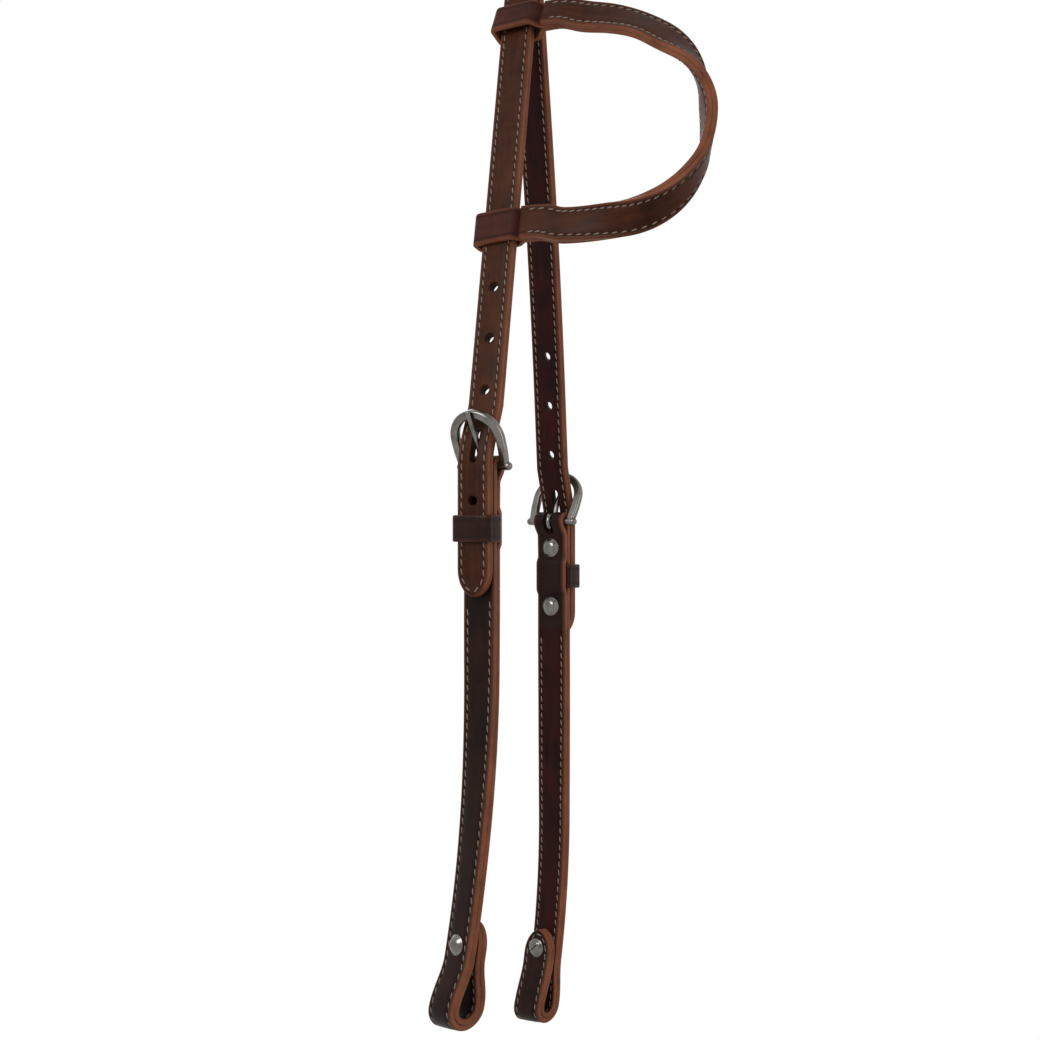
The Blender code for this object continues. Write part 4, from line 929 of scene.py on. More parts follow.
def wrap_stations(plane, down, skew, width, arm_x):
    """Stations of one wrap from the splice up over the front, round and along the back.

    Behind the crown the wrap is skived inside, to pass the swell of the crown's lining.
    """
    half = strap.width / 2
    layer = strap.ear_layer
    lean = width / 2 * math.tan(abs(skew))
    half_o = crown_half() / math.cos(skew) + lean + ear.room + layer / 2
    left = ear.corner - (half + ear.side_room + layer / 2)
    band_across = plane.down * math.cos(skew) + plane.out * math.sin(skew)
    band_out = plane.out * math.cos(skew) - plane.down * math.sin(skew)
    thin = splice_thickness(0.0)
    start_o = strap.seam / 2 + thin / 2
    back_o = -(strap.gap / 2 + layer / 2)
    clear_x = half + ear.clear
    rise = eased_line((start_o, arm_x), (half_o, clear_x), WRAP_STEPS)[1:-1]
    places = [(x, o, mix(thin, layer, ease((arm_x - x) / (arm_x - clear_x)))) for o, x in rise]
    round_part = [(x, half_o) for _, x in straight(0.0, clear_x, left)]
    round_part += arc((left, half_o - ear.corner), ear.corner, math.pi / 2, math.pi / 2, CORNER_STEPS)
    round_part += arc((left, ear.corner - half_o), ear.corner, math.pi, math.pi / 2, CORNER_STEPS)
    round_part += [(x, -half_o) for _, x in straight(0.0, left, clear_x)[1:]]
    fall = eased_line((-half_o, clear_x), (back_o, arm_x), WRAP_STEPS)[:-1]
    round_part += [(x, o) for o, x in fall]
    places += [(x, o, layer) for x, o in round_part]
    stations = []
    for (x, o, thick), slope in zip(places, slopes([place[:2] for place in places])):
        point = plane.origin + plane.down * down + plane.across * x + band_out * o
        out = band_out * -slope[0] + plane.across * slope[1]
        skive = ear.back_skive * max(0.0, (back_o - o) / (half_o + back_o))
        stations.append(Station(point, band_across, out, width / 2, skive - thick / 2, thick / 2, 0.0, 0.0))
    return stations


def align(stations):
    """Give neighbouring stations like directions, so that the strap never flips over."""
    for a, b in zip(stations, stations[1:]):
        if a.across.dot(b.across) < 0:
            b.across = -b.across
        if a.out.dot(b.out) < 0:
            b.out = -b.out
            b.low, b.high = -b.high, -b.low
    return stations


# Making meshes

def store_mesh(name, bm, sharp=None):
    """Store a bmesh as a smooth mesh, with sharp edges past an angle if one is given."""
    for face in bm.faces:
        face.smooth = True
    mesh = bpy.data.meshes.new(name)
    bm.to_mesh(mesh)
    bm.free()
    if sharp is not None:
        mesh.set_sharp_from_angle(angle=sharp)
    return mesh


def finish_mesh(name, bm, sharp=None):
    """Turn every face of one closed body outwards and store it."""
    bmesh.ops.recalc_face_normals(bm, faces=bm.faces)
    if bm.calc_volume(signed=True) < 0:
        bmesh.ops.reverse_faces(bm, faces=bm.faces)
    return store_mesh(name, bm, sharp)


def link_object(name, data):
    """New object in the scene that holds this data."""
    obj = bpy.data.objects.new(name, data)
    bpy.context.scene.collection.objects.link(obj)
    return obj


def add_piece(name, mesh, material, body, nodes=()):
    """Put a finished mesh in the scene, on its body, in the place of its CAD nodes."""
    obj = link_object(name, mesh)
    mesh.materials.append(material)
    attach(obj, body)
    if nodes:
        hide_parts(*nodes)
    if material.name in SLOTS:
        SLOTS[material.name]
    return obj


def extend_loop(bm, loop, places):
    """Extrude a closed loop of vertices to new places and return the new loop."""
    edges = [bm.edges.get((loop[i - 1], loop[i])) for i in range(len(loop))]
    made = bmesh.ops.extrude_edge_only(bm, edges=edges)
    fresh = {item for item in made["geom"] if isinstance(item, bmesh.types.BMVert)}
    following = []
    for vert, place in zip(loop, places):
        partner = next(e.other_vert(vert) for e in vert.link_edges if e.other_vert(vert) in fresh)
        partner.co = place
        following.append(partner)
    return following


def join_meshes(meshes):
    """One bmesh that takes over these meshes."""
    bm = bmesh.new()
    for mesh in meshes:
        bm.from_mesh(mesh)
        bpy.data.meshes.remove(mesh)
    return bm


def carry_rings(bm, rings):
    """Closed body through rings of places, with a face at both ends. Returns its loops."""
    loops = [[bm.verts.new(place) for place in rings[0]]]
    bm.faces.new(loops[0])
    for ring in rings[1:]:
        loops.append(extend_loop(bm, loops[-1], ring))
    bm.faces.new(loops[-1])
    return loops


def quarter(centre, radius, start, steps, burnish_from, burnish_to):
    """Points of a quarter round with the burnish that each of them carries."""
    return [(x, y, mix(burnish_from, burnish_to, i / steps))
            for i, (x, y) in enumerate(arc(centre, radius, start, math.pi / 2, steps))]


def offset_edge(stations):
    """Line that runs inside a strap's edge at the stitching's distance, as (travel, across)."""
    edge = [(station.travel, station.half) for station in stations]
    line = []
    for spot, slope in zip(edge, slopes(edge)):
        run = spot[0] + slope[1] * strap.stitch_inset
        across = spot[1] - slope[0] * strap.stitch_inset
        if across > 0 and (not line or run > line[-1][0] + strap.seam):
            line.append((run, across))
    return line


def mark_grooves(stations):
    """Give every station the place and the depth of the groove that the stitches lie in."""
    line = offset_edge(stations)
    runs = [run for run, _ in line]
    for station in stations:
        i, part = locate(runs, station.travel)
        across = mix(line[i][1], line[i + 1][1], min(1.0, max(0.0, part)))
        inside = runs[0] <= station.travel <= runs[-1]
        middle = station.half * MIDDLE_SHARE
        station.line = max(across, middle) if inside else middle
        clear = (across - station.half * GROOVE_END) / (station.half * GROOVE_FADE) if inside else 0.0
        station.groove = station.crease * ease(clear)


def sewn_outline(station, grain_up):
    """Outline of a layer that is sewn to another: (across, out, burnish)."""
    thick = station.high - station.low
    half = station.half
    size = max(LEAST_SIZE, min(1.0, half / (strap.width / 2)))
    outer = min(strap.edge_round, thick * OUTER_LIMITS[0], half * OUTER_LIMITS[1])
    inner = min(strap.back_round, thick * INNER_LIMITS[0], half * INNER_LIMITS[1])
    depth = strap.crease_depth * station.groove
    rise = strap.crown_rise * station.groove
    wide = min(strap.crease_width * size, (half - outer - station.line) * GROOVE_FIT)
    points = quarter((half - inner, inner), inner, -math.pi / 2, 2, 0.6, 1.0)
    points += quarter((half - outer, thick - outer), outer, 0.0, 5, 1.0, 0.1)
    for across, deep in CREASE_SHARES:
        drop = depth * deep if deep > 0 else rise * deep
        points.append((station.line + wide * across, thick - drop, 0.0))
    points.append((station.line * MIDDLE_SHARE, thick + rise * MIDDLE_RISE, 0.0))
    points.append((0.0, thick + rise, 0.0))
    points += [(-x, y, burnish) for x, y, burnish in reversed(points[:-1])]
    if grain_up:
        return [(x, station.low + y, burnish) for x, y, burnish in points]
    return [(x, station.high - y, burnish) for x, y, burnish in reversed(points)]


def plain_outline(station):
    """Outline of a single layer with both its edges rounded alike."""
    low, high = station.low, station.high
    radius = min((high - low) * PLAIN_LIMIT, strap.edge_round)
    half = station.half
    right = quarter((half - radius, low + radius), radius, -math.pi / 2, 4, 0.1, 1.0)
    right += quarter((half - radius, high - radius), radius, 0.0, 4, 1.0, 0.1)
    right += [(half * part, high, 0.0) for part in PLAIN_FRONT]
    left = [(-x, y, burnish) for x, y, burnish in reversed(right)]
    return right + [(0.0, high, 0.0)] + left + [(half * part, low, 0.0) for part in PLAIN_BACK]


def sweep(name, stations, outlines):
    """Carry an outline along the stations, with maps of place and burnish for the leather."""
    bm = bmesh.new()
    rings = [[station.point + station.across * x + station.out * y for x, y, _ in outline]
             for station, outline in zip(stations, outlines)]
    marks = {}
    for station, outline, loop in zip(stations, outlines, carry_rings(bm, rings)):
        for vert, (x, y, burnish) in zip(loop, outline):
            marks[vert] = (station.travel, station.half - abs(x), burnish, y)
    where = bm.loops.layers.uv.new("strap")
    edge_map = bm.loops.layers.uv.new("burnish")
    for face in bm.faces:
        end = len(face.verts) > 4
        for corner in face.loops:
            travel, inset, burnish, level = marks[corner.vert]
            corner[where].uv = (travel, inset)
            corner[edge_map].uv = (1.0 if end else burnish, level)
    return finish_mesh(name, bm)


def sewn_strap(name, stations, material, body, node, grain_up=True):
    mark_grooves(stations)
    outlines = [sewn_outline(station, grain_up) for station in stations]
    return add_piece(name, sweep(name, stations, outlines), material, body, (node,))


def punch(name, matrix, radius, low, high, stretch=0.0, rim=0.0):
    """Tool for a hole along local Z, drawn out along local Y, that rolls the rims in."""
    rings = [(radius, low - TOOL_OVER), (radius, high + TOOL_OVER)]
    if rim:
        rings = [(radius + rim * wide, low + rim * deep) for wide, deep in RIM_SHARES]
        rings += [(wide, low + high - z) for wide, z in reversed(rings)]
        rings = [(rings[0][0], low - TOOL_OVER)] + rings + [(rings[-1][0], high + TOOL_OVER)]
    bends = [2 * math.pi * (i + 0.5) / PUNCH_SIDES for i in range(PUNCH_SIDES)]
    places = []
    for wide, z in rings:
        ring = [(wide * math.cos(bend), wide * math.sin(bend)) for bend in bends]
        places.append([matrix @ Vector((x, y + math.copysign(stretch / 2, y), z)) for x, y in ring])
    bm = bmesh.new()
    carry_rings(bm, places)
    return finish_mesh(name, bm)


def cut_with(target, name, tools):
    """Cut closed tool meshes out of a piece and apply the cut."""
    bm = join_meshes(tools)
    bm.loops.layers.uv.new("strap")
    edge_map = bm.loops.layers.uv.new("burnish")
    for face in bm.faces:
        for corner in face.loops:
            corner[edge_map].uv = (RAW_WALL, 0.0)
    mesh = store_mesh(name, bm)
    mesh.materials.append(target.data.materials[0])
    cutter = link_object(name, mesh)
    modifier = target.modifiers.new(name, 'BOOLEAN')
    modifier.operation = 'DIFFERENCE'
    modifier.solver = 'EXACT'
    modifier.object = cutter
    bpy.context.view_layer.update()
    graph = bpy.context.evaluated_depsgraph_get()
    result = bpy.data.meshes.new_from_object(target.evaluated_get(graph), depsgraph=graph)
    target.modifiers.clear()
    old = target.data
    target.data = result
    bpy.data.meshes.remove(old)
    bpy.data.objects.remove(cutter, do_unlink=True)
    bpy.data.meshes.remove(mesh)
    result.set_sharp_from_angle(angle=SHARP_EDGE)


# Stitching

class Ribbon:
    """Finds places on one face of a strap by distance along it and across it."""

    def __init__(self, stations, face):
        self.stations = stations
        self.runs = [station.travel for station in stations]
        self.face = face

    def at(self, run, x):
        """Place, outward direction and depth of the groove there."""
        i, part = locate(self.runs, run, strap.seam)
        a, b = self.stations[i], self.stations[i + 1]
        across = a.across.lerp(b.across, part).normalized()
        out = a.out.lerp(b.out, part).normalized()
        level = mix(a.high, b.high, part) if self.face > 0 else mix(a.low, b.low, part)
        place = a.point.lerp(b.point, part) + across * x + out * level
        return place, out * self.face, mix(a.groove, b.groove, part) * strap.crease_depth


def walked(path, pitch):
    """Places at even distances along a path of 2D points, and the path's directions there."""
    runs = distances(path)
    places = []
    for i in range(int(runs[-1] / pitch)):
        k, part = locate(runs, (i + 0.5) * pitch)
        a, b = Vector(path[k]), Vector(path[k + 1])
        places.append((a.lerp(b, part), (b - a).normalized()))
    return places


def seam_path(stations, start, end, round_start, round_end):
    """Stitch line along both edges, joined round the strap's tips."""
    right = [spot for spot in offset_edge(stations) if start <= spot[0] <= end]
    left = [(run, -x) for run, x in reversed(right)]
    if round_start and round_end:
        return [right + left + [right[0]]]
    if round_end:
        return [right + left]
    return [right, left]


def add_stitches(name, ribbon, paths, body):
    """One bead of thread for every stitch: its ends dive into the leather."""
    bm = bmesh.new()
    bmesh.ops.create_uvsphere(bm, u_segments=BEAD_SIDES, v_segments=BEAD_RINGS, radius=1.0,
                              matrix=Matrix.Rotation(math.pi / 2, 4, 'Y'))
    bead = store_mesh("bead", bm)
    bm = bmesh.new()
    for path in paths:
        for spot, direction in walked(path, strap.stitch_pitch):
            place, normal, sink = ribbon.at(spot.x, spot.y)
            ahead = ribbon.at(spot.x + direction.x * MM, spot.y + direction.y * MM)[0]
            along = ahead - place
            along = (along - normal * along.dot(normal)).normalized()
            side = normal.cross(along)
            slanted = along * math.cos(strap.stitch_slant) + side * math.sin(strap.stitch_slant)
            matrix = axes_matrix(slanted * strap.stitch_length / 2,
                                 normal.cross(slanted) * strap.thread / 2,
                                 normal * strap.thread * THREAD_RISE, place - normal * sink)
            bead.transform(matrix)
            bm.from_mesh(bead)
            bead.transform(matrix.inverted())
    bpy.data.meshes.remove(bead)
    add_piece(name, store_mesh(name, bm), waxed_thread(), body)


# Finishes

SLOTS = {
    "oiled_chocolate_grain": "strap_grain",
    "oiled_black_brown_grain": "strap_grain",
    "oxblood_lining": "lining",
    "smooth_brown_lining": "lining",
    "polished_keeper_grain": "keeper_leather",
    "buffed_nickel": "nickel",
    "bright_screw_nickel": "screw_steel",
}


def linear(text):
    """Linear RGBA of an sRGB hex value."""
    parts = [int(text[i:i + 2], 16) / 255 for i in (1, 3, 5)]
    levels = [part / 12.92 if part <= 0.04045 else ((part + 0.055) / 1.055) ** 2.4 for part in parts]
    return (*levels, 1.0)


def add_node(tree, kind, inputs=None, **settings):
    """Add a node with its settings. Its inputs are values, or sockets to link from."""
    node = tree.nodes.new("ShaderNode" + kind)
    for key, value in settings.items():
        setattr(node, key, value)
    for socket, value in (inputs or {}).items():
        if isinstance(value, bpy.types.NodeSocket):
            tree.links.new(value, node.inputs[socket])
        else:
            node.inputs[socket].default_value = value
    return node


def start_material(name):
    """New material, with its node tree and its shader."""
    material = bpy.data.materials.new(name)
    material.use_nodes = True
    return material, material.node_tree, material.node_tree.nodes["Principled BSDF"]


def background_rays(tree):
    """Socket that is 1 for the rays that see the background: camera, glossy and transmission."""
    path = add_node(tree, "LightPath")
    seen = path.outputs["Is Camera Ray"]
    for ray in ("Is Glossy Ray", "Is Transmission Ray"):
        seen = add_node(tree, "Math", {0: seen, 1: path.outputs[ray]}, operation='MAXIMUM').outputs[0]
    return seen


def vegetable_leather(name, light, dark, edge, edge_dark, rough, coat):
    """Vegetable-tanned cowhide, drum dyed, oiled and edge burnished.

    The dye lies in clouds and in faint streaks along the strap. The grain is a close net of cells
    with pores between them, pressed to a soft shine. The cut edge is fibrous under its burnish,
    and redder and lighter than the face.
    """
    if name in bpy.data.materials:
        return bpy.data.materials[name]
    material, tree, shader = start_material(name)
    place = add_node(tree, "TexCoord").outputs["Object"]
    strap_map = add_node(tree, "UVMap", uv_map="strap").outputs["UV"]
    edge_map = add_node(tree, "UVMap", uv_map="burnish").outputs["UV"]
    on_strap = add_node(tree, "SeparateXYZ", {0: strap_map})
    on_edge = add_node(tree, "SeparateXYZ", {0: edge_map})

    # Dye clouds of 16 mm, and streaks of 1.6 mm by 25 mm along the strap
    clouds = add_node(tree, "TexNoise", {"Vector": place, "Scale": 1 / 0.016, "Detail": 5.0,
                                         "Roughness": 0.6}).outputs[0]
    streak_place = add_node(tree, "Mapping", {"Vector": strap_map, "Scale": (1 / 0.025, 1 / 0.0016, 1.0)})
    streaks = add_node(tree, "TexNoise", {"Vector": streak_place.outputs[0], "Scale": 1.0,
                                          "Detail": 3.0}).outputs[0]
    streak_share = add_node(tree, "Math", {0: streaks, 1: 0.35}, operation='MULTIPLY').outputs[0]
    dye = add_node(tree, "Math", {0: clouds, 1: 0.65, 2: streak_share}, operation='MULTIPLY_ADD').outputs[0]
    dye_share = add_node(tree, "MapRange", {"Value": dye, "From Min": 0.38, "From Max": 0.64}).outputs[0]
    tone = add_node(tree, "Mix", {"Factor": dye_share, "A": linear(dark), "B": linear(light)},
                    data_type='RGBA').outputs["Result"]

    # The shoulder outside the stitching is rubbed, and is a little lighter
    shoulder = add_node(tree, "MapRange", {"Value": on_strap.outputs[1], "From Min": 2.0 * MM,
                                           "From Max": 0.4 * MM, "To Max": 0.3},
                        interpolation_type='SMOOTHSTEP').outputs[0]

    # The groove under the stitches is darker: painted shade in the crease
    off_line = add_node(tree, "Math", {0: on_strap.outputs[1], 1: strap.stitch_inset},
                        operation='SUBTRACT').outputs[0]
    line_far = add_node(tree, "Math", {0: off_line}, operation='ABSOLUTE').outputs[0]
    groove = add_node(tree, "MapRange", {"Value": line_far, "From Min": strap.crease_width * 1.2,
                                         "From Max": strap.crease_width * 0.2, "To Max": 0.6},
                      interpolation_type='SMOOTHSTEP').outputs[0]

    # Hair pores, really 0.2 mm apart, are drawn 0.8 mm apart so that they show
    pores = add_node(tree, "TexVoronoi", {"Vector": place, "Scale": 1 / 0.0008}).outputs[0]
    pore_dark = add_node(tree, "MapRange", {"Value": pores, "From Min": 0.2, "From Max": 0.06,
                                            "To Max": 0.45}).outputs[0]

    # Fibres of the cut edge: 0.3 mm by 5 mm, along the strap
    edge_place = add_node(tree, "CombineXYZ", {0: on_strap.outputs[0], 1: on_edge.outputs[1]})
    fibre_place = add_node(tree, "Mapping", {"Vector": edge_place.outputs[0],
                                             "Scale": (1 / 0.005, 1 / 0.0003, 1.0)})
    fibres = add_node(tree, "TexNoise", {"Vector": fibre_place.outputs[0], "Scale": 1.0, "Detail": 4.0,
                                         "Roughness": 0.65}).outputs[0]
    fibre_share = add_node(tree, "Math", {0: fibres, 1: 0.5}, operation='MULTIPLY').outputs[0]
    edge_dye = add_node(tree, "Math", {0: clouds, 1: 0.6, 2: fibre_share},
                        operation='MULTIPLY_ADD').outputs[0]
    edge_share = add_node(tree, "MapRange", {"Value": edge_dye, "From Min": 0.3, "From Max": 0.62}).outputs[0]
    edge_tone = add_node(tree, "Mix", {"Factor": edge_share, "A": linear(edge_dark),
                                       "B": linear(edge)}, data_type='RGBA').outputs["Result"]
    burnish = add_node(tree, "MapRange", {"Value": on_edge.outputs[0], "From Min": 0.3, "From Max": 0.85},
                       interpolation_type='SMOOTHSTEP').outputs[0]

    # Raw walls of the punched holes, darkened: painted shade inside the holes
    hole = add_node(tree, "MapRange", {"Value": on_edge.outputs[0], "From Min": 1.2, "From Max": 1.8,
                                       "To Max": 0.85}).outputs[0]

    # The face takes each of these in turn
    over_face = ((shoulder, linear(edge)), (groove, linear(dark)), (pore_dark, linear(dark)),
                 (burnish, edge_tone), (hole, linear(dark)))
    for mark, mark_tone in over_face:
        tone = add_node(tree, "Mix", {"Factor": mark, "A": tone, "B": mark_tone},
                        data_type='RGBA').outputs["Result"]
    tree.links.new(tone, shader.inputs["Base Color"])

    # Pressed grain is smooth, and pores, groove and edge are duller
    dull = rough
    for mark, weight in ((clouds, 0.3), (pore_dark, 0.35), (groove, 0.2), (burnish, 0.06)):
        dull = add_node(tree, "Math", {0: mark, 1: weight, 2: dull}, operation='MULTIPLY_ADD').outputs[0]
    tree.links.new(dull, shader.inputs["Roughness"])
    shader.inputs["Specular IOR Level"].default_value = 0.07
    shader.inputs["Coat Weight"].default_value = coat
    shader.inputs["Coat Roughness"].default_value = 0.18

    # Relief of the grain cells, drawn 0.6 mm wide, over the hide's slow waves of 4 mm
    cells = add_node(tree, "TexVoronoi", {"Vector": place, "Scale": 1 / 0.0006},
                     feature='SMOOTH_F1').outputs[0]
    relief = add_node(tree, "TexNoise", {"Vector": place, "Scale": 1 / 0.004, "Detail": 3.0}).outputs[0]
    fibre_relief = add_node(tree, "Math", {0: fibres, 1: burnish}, operation='MULTIPLY').outputs[0]
    for mark, weight in ((cells, -0.4), (pore_dark, -0.7), (fibre_relief, 0.4)):
        relief = add_node(tree, "Math", {0: mark, 1: weight, 2: relief}, operation='MULTIPLY_ADD').outputs[0]
    bump = add_node(tree, "Bump", {"Height": relief, "Strength": 0.55, "Distance": 0.13 * MM})
    tree.links.new(bump.outputs[0], shader.inputs["Normal"])
    return material


def grain_leather():
    return vegetable_leather("oiled_chocolate_grain", finish.grain, finish.grain_dark, finish.edge,
                             finish.edge_dark, 0.27, 0.0)


# A darker copy of the grain leather: painted shade on the upright cheeks
def cheek_leather_painted_shade():
    return vegetable_leather("oiled_black_brown_grain", finish.cheek, finish.cheek_dark, finish.edge,
                             finish.edge_dark, 0.25, 0.0)


def lining_leather():
    return vegetable_leather("oxblood_lining", finish.lining, finish.lining_dark, finish.edge,
                             finish.edge_dark, 0.5, 0.0)


def wrap_leather():
    return vegetable_leather("smooth_brown_lining", finish.wrap, finish.wrap_dark, finish.edge,
                             finish.edge_dark, 0.38, 0.0)


def keeper_leather():
    return vegetable_leather("polished_keeper_grain", finish.keeper, finish.keeper_dark, finish.edge_dark,
                             finish.lining_dark, 0.16, 0.08)


def nickel(name, rough):
    """Nickel plate on cast or turned brass, buffed. Its colour is darkened to grey: a painted reflection of a
    dark room.

    Buffing leaves fine lines in it, and handling leaves faint cloudy patches.
    """
    if name in bpy.data.materials:
        return bpy.data.materials[name]
    material, tree, shader = start_material(name)
    shader.inputs["Metallic"].default_value = 1.0
    place = add_node(tree, "TexCoord").outputs["Object"]

    # Handling patches of 5 mm
    clouds = add_node(tree, "TexNoise", {"Vector": place, "Scale": 1 / 0.005, "Detail": 4.0}).outputs[0]
    handled = add_node(tree, "MapRange", {"Value": clouds, "From Min": 0.42, "From Max": 0.7}).outputs[0]
    tone = add_node(tree, "Mix", {"Factor": handled, "A": linear(finish.nickel),
                                  "B": linear(finish.nickel_dull)}, data_type='RGBA').outputs["Result"]
    tree.links.new(tone, shader.inputs["Base Color"])

    # Buffing lines, really 0.02 mm apart, drawn 0.2 mm apart
    buff_place = add_node(tree, "Mapping", {"Vector": place, "Scale": (1 / 0.004, 1 / 0.0002, 1 / 0.0006)})
    buffing = add_node(tree, "TexNoise", {"Vector": buff_place.outputs[0], "Scale": 1.0,
                                          "Detail": 2.0}).outputs[0]
    dull = rough
    for mark, weight in ((handled, 0.1), (buffing, 0.05)):
        dull = add_node(tree, "Math", {0: mark, 1: weight, 2: dull}, operation='MULTIPLY_ADD').outputs[0]
    tree.links.new(dull, shader.inputs["Roughness"])
    bump = add_node(tree, "Bump", {"Height": buffing, "Strength": 0.12, "Distance": 0.01 * MM})
    tree.links.new(bump.outputs[0], shader.inputs["Normal"])
    return material


def buckle_nickel():
    return nickel("buffed_nickel", 0.2)


def screw_nickel():
    return nickel("bright_screw_nickel", 0.12)


def waxed_thread():
    """Waxed polyester thread, twisted from plies: matt, darker in bands along its plies and in soiled
    patches.
    """
    name = "waxed_taupe_thread"
    if name in bpy.data.materials:
        return bpy.data.materials[name]
    material, tree, shader = start_material(name)
    shader.inputs["Roughness"].default_value = 0.62
    place = add_node(tree, "TexCoord").outputs["Object"]

    # Plies 0.6 mm apart, soiled in patches of 4 mm
    plies = add_node(tree, "TexWave", {"Vector": place, "Scale": 1 / 0.0038, "Distortion": 1.2},
                     bands_direction='DIAGONAL').outputs[1]
    soil = add_node(tree, "TexNoise", {"Vector": place, "Scale": 1 / 0.004, "Detail": 3.0}).outputs[0]
    soil_share = add_node(tree, "Math", {0: soil, 1: 0.7}, operation='MULTIPLY').outputs[0]
    shade = add_node(tree, "Math", {0: plies, 1: 0.45, 2: soil_share}, operation='MULTIPLY_ADD').outputs[0]
    tone = add_node(tree, "Mix", {"Factor": shade, "A": linear(finish.thread_dark),
                                  "B": linear(finish.thread)}, data_type='RGBA').outputs["Result"]
    tree.links.new(tone, shader.inputs["Base Color"])
    bump = add_node(tree, "Bump", {"Height": plies, "Strength": 0.6, "Distance": 0.08 * MM})
    tree.links.new(bump.outputs[0], shader.inputs["Normal"])
    return material


def studio_paper():
    """Matt white paper roll. Half of it glows for the camera, so it stays pale and holds a shadow."""
    material, tree, shader = start_material("matt_paper_roll")
    shader.inputs["Roughness"].default_value = 0.9

    # Tooth of the paper, drawn 1.5 mm wide
    place = add_node(tree, "TexCoord").outputs["Object"]
    tooth = add_node(tree, "TexNoise", {"Vector": place, "Scale": 1 / 0.0015, "Detail": 2.0}).outputs[0]
    tone = add_node(tree, "Mix", {"Factor": tooth, "A": linear(finish.paper),
                                  "B": linear(finish.paper_shade)}, data_type='RGBA').outputs["Result"]
    tree.links.new(tone, shader.inputs["Base Color"])
    glowing = add_node(tree, "Math", {0: background_rays(tree), 1: 0.5}, operation='MULTIPLY').outputs[0]
    glow = add_node(tree, "Emission", {"Color": (1.0, 1.0, 1.0, 1.0), "Strength": 1.0})
    blend = add_node(tree, "MixShader", {0: glowing, 1: shader.outputs[0], 2: glow.outputs[0]})
    tree.links.new(blend.outputs[0], tree.nodes["Material Output"].inputs["Surface"])
    return material


# Crown

def crown_stations(low, high):
    """Stations from the near billet's tip over the poll to the off billet's tip."""
    near = near_leg().stations(low, high)
    off = off_leg().stations(low, high)
    return list(reversed(near)) + off[1:]


def crown_holes():
    """Tools for the round holes of both legs, and for the long holes that the tongues pass."""
    tools = []
    for side in map(Cheek, SIDES):
        middle = tongue_travel(side)
        for k in range(-strap.holes_below, strap.holes_above + 1):
            travel, radius, stretch = middle - k * strap.hole_pitch, strap.hole_radius, 0.0
            if k == 0:
                travel = middle + strap.tongue_hole_shift
                radius = metal.tongue + strap.tongue_hole_room
                stretch = strap.tongue_hole_length - 2 * radius
            tools.append(punch(f"hole_{k}", crown_matrix(side.leg, travel), radius, -crown_half(),
                               crown_half(), stretch, strap.hole_rim))
    return tools


def make_crown():
    body = "straps"
    outer = crown_stations(strap.seam / 2, crown_half())
    inner = crown_stations(-crown_half(), -strap.seam / 2)
    layers = [sewn_strap("crown_grain_layer", outer, grain_leather(), body, "crown_strap"),
              sewn_strap("crown_lining_layer", inner, lining_leather(), body, "crown_lining", False)]
    for layer in layers:
        cut_with(layer, "crown_holes", crown_holes())
    reach = max(outer[-1].travel, -outer[0].travel)
    paths = seam_path(outer, -reach, reach, True, True)
    add_stitches("crown_outer_stitches", Ribbon(outer, 1), paths, body)
    add_stitches("crown_inner_stitches", Ribbon(inner, -1), paths, body)


def crown_matrix(leg, travel):
    """On the crown's seam: local X across, local Y up along the leg, local Z out of it."""
    place, out = leg.at(travel)
    across = crown_across()
    return axes_matrix(across, out.cross(across), out, place)


# Cheeks

def make_cheek(side):
    body = "straps"
    name = side.side
    fill = (strap.gap - strap.seam) / 2
    line, seam_start = outer_line(side)
    outer = side.strip(line, strap.cheek_layer, seam_start)
    inner = side.strip(lining_line(side), strap.cheek_layer)
    for station in outer:
        station.low -= fill
    for station in inner:
        station.high += fill
    front = sewn_strap(f"{name}_cheek_grain_layer", outer, cheek_leather_painted_shade(), body, f"{name}_cheek_strap")
    back = sewn_strap(f"{name}_cheek_lining_layer", inner, lining_leather(), body,
                      f"{name}_cheek_lining", False)
    punch_cheek(side, front, back)
    paths = seam_path(outer, seam_start + strap.stitch_pitch, outer[-1].travel, False, True)
    add_stitches(f"{name}_cheek_outer_stitches", Ribbon(outer, 1), paths, body)
    paths = seam_path(inner, strap.stitch_pitch / 2, inner[-1].travel, False, True)
    add_stitches(f"{name}_cheek_inner_stitches", Ribbon(inner, -1), paths, body)


def punch_cheek(side, front, back):
    """Cut the tongue's slot in the fold, the screw holes and the sunk heads' recesses."""
    slot_radius = metal.tongue + cheek.slot_side
    top = metal.bar + 2 * strap.gap + strap.cheek_layer + CUT_OVER + slot_radius
    bottom = metal.bar + metal.bore_gap + 2 * metal.tongue + cheek.slot_end
    matrix = side.screw_matrix(0.0, side.heel + (top - bottom) / 2, 1)
    tools = [punch("tongue_slot", matrix, slot_radius, 2 * bar_w() - strap.cheek_layer - CUT_OVER,
                   CUT_OVER, top + bottom - 2 * slot_radius)]
    hole = metal.barrel + strap.gap
    recesses = []
    for drop in (cheek.upper_screw, cheek.lower_screw):
        matrix = side.screw_matrix(0.0, side.heel - drop, 1)
        tools.append(punch("screw_hole", matrix, hole, lap_back() - CUT_OVER, CUT_OVER))
        recesses.append(punch("recess", matrix, metal.flat_head + strap.gap,
                              TOOL_OVER - metal.flat_height - strap.gap, CUT_OVER))
    matrix = side.screw_matrix(0.0, side.bottom + cheek.bit_screw, 1)
    tools.append(punch("bit_hole", matrix, hole, bit_back() - CUT_OVER, CUT_OVER))
    cut_with(front, "cheek_holes", tools)
    cut_with(front, "screw_recesses", recesses)
    cut_with(back, "lining_hole", [punch("bit_hole", matrix, hole, bit_back() - CUT_OVER, CUT_OVER)])


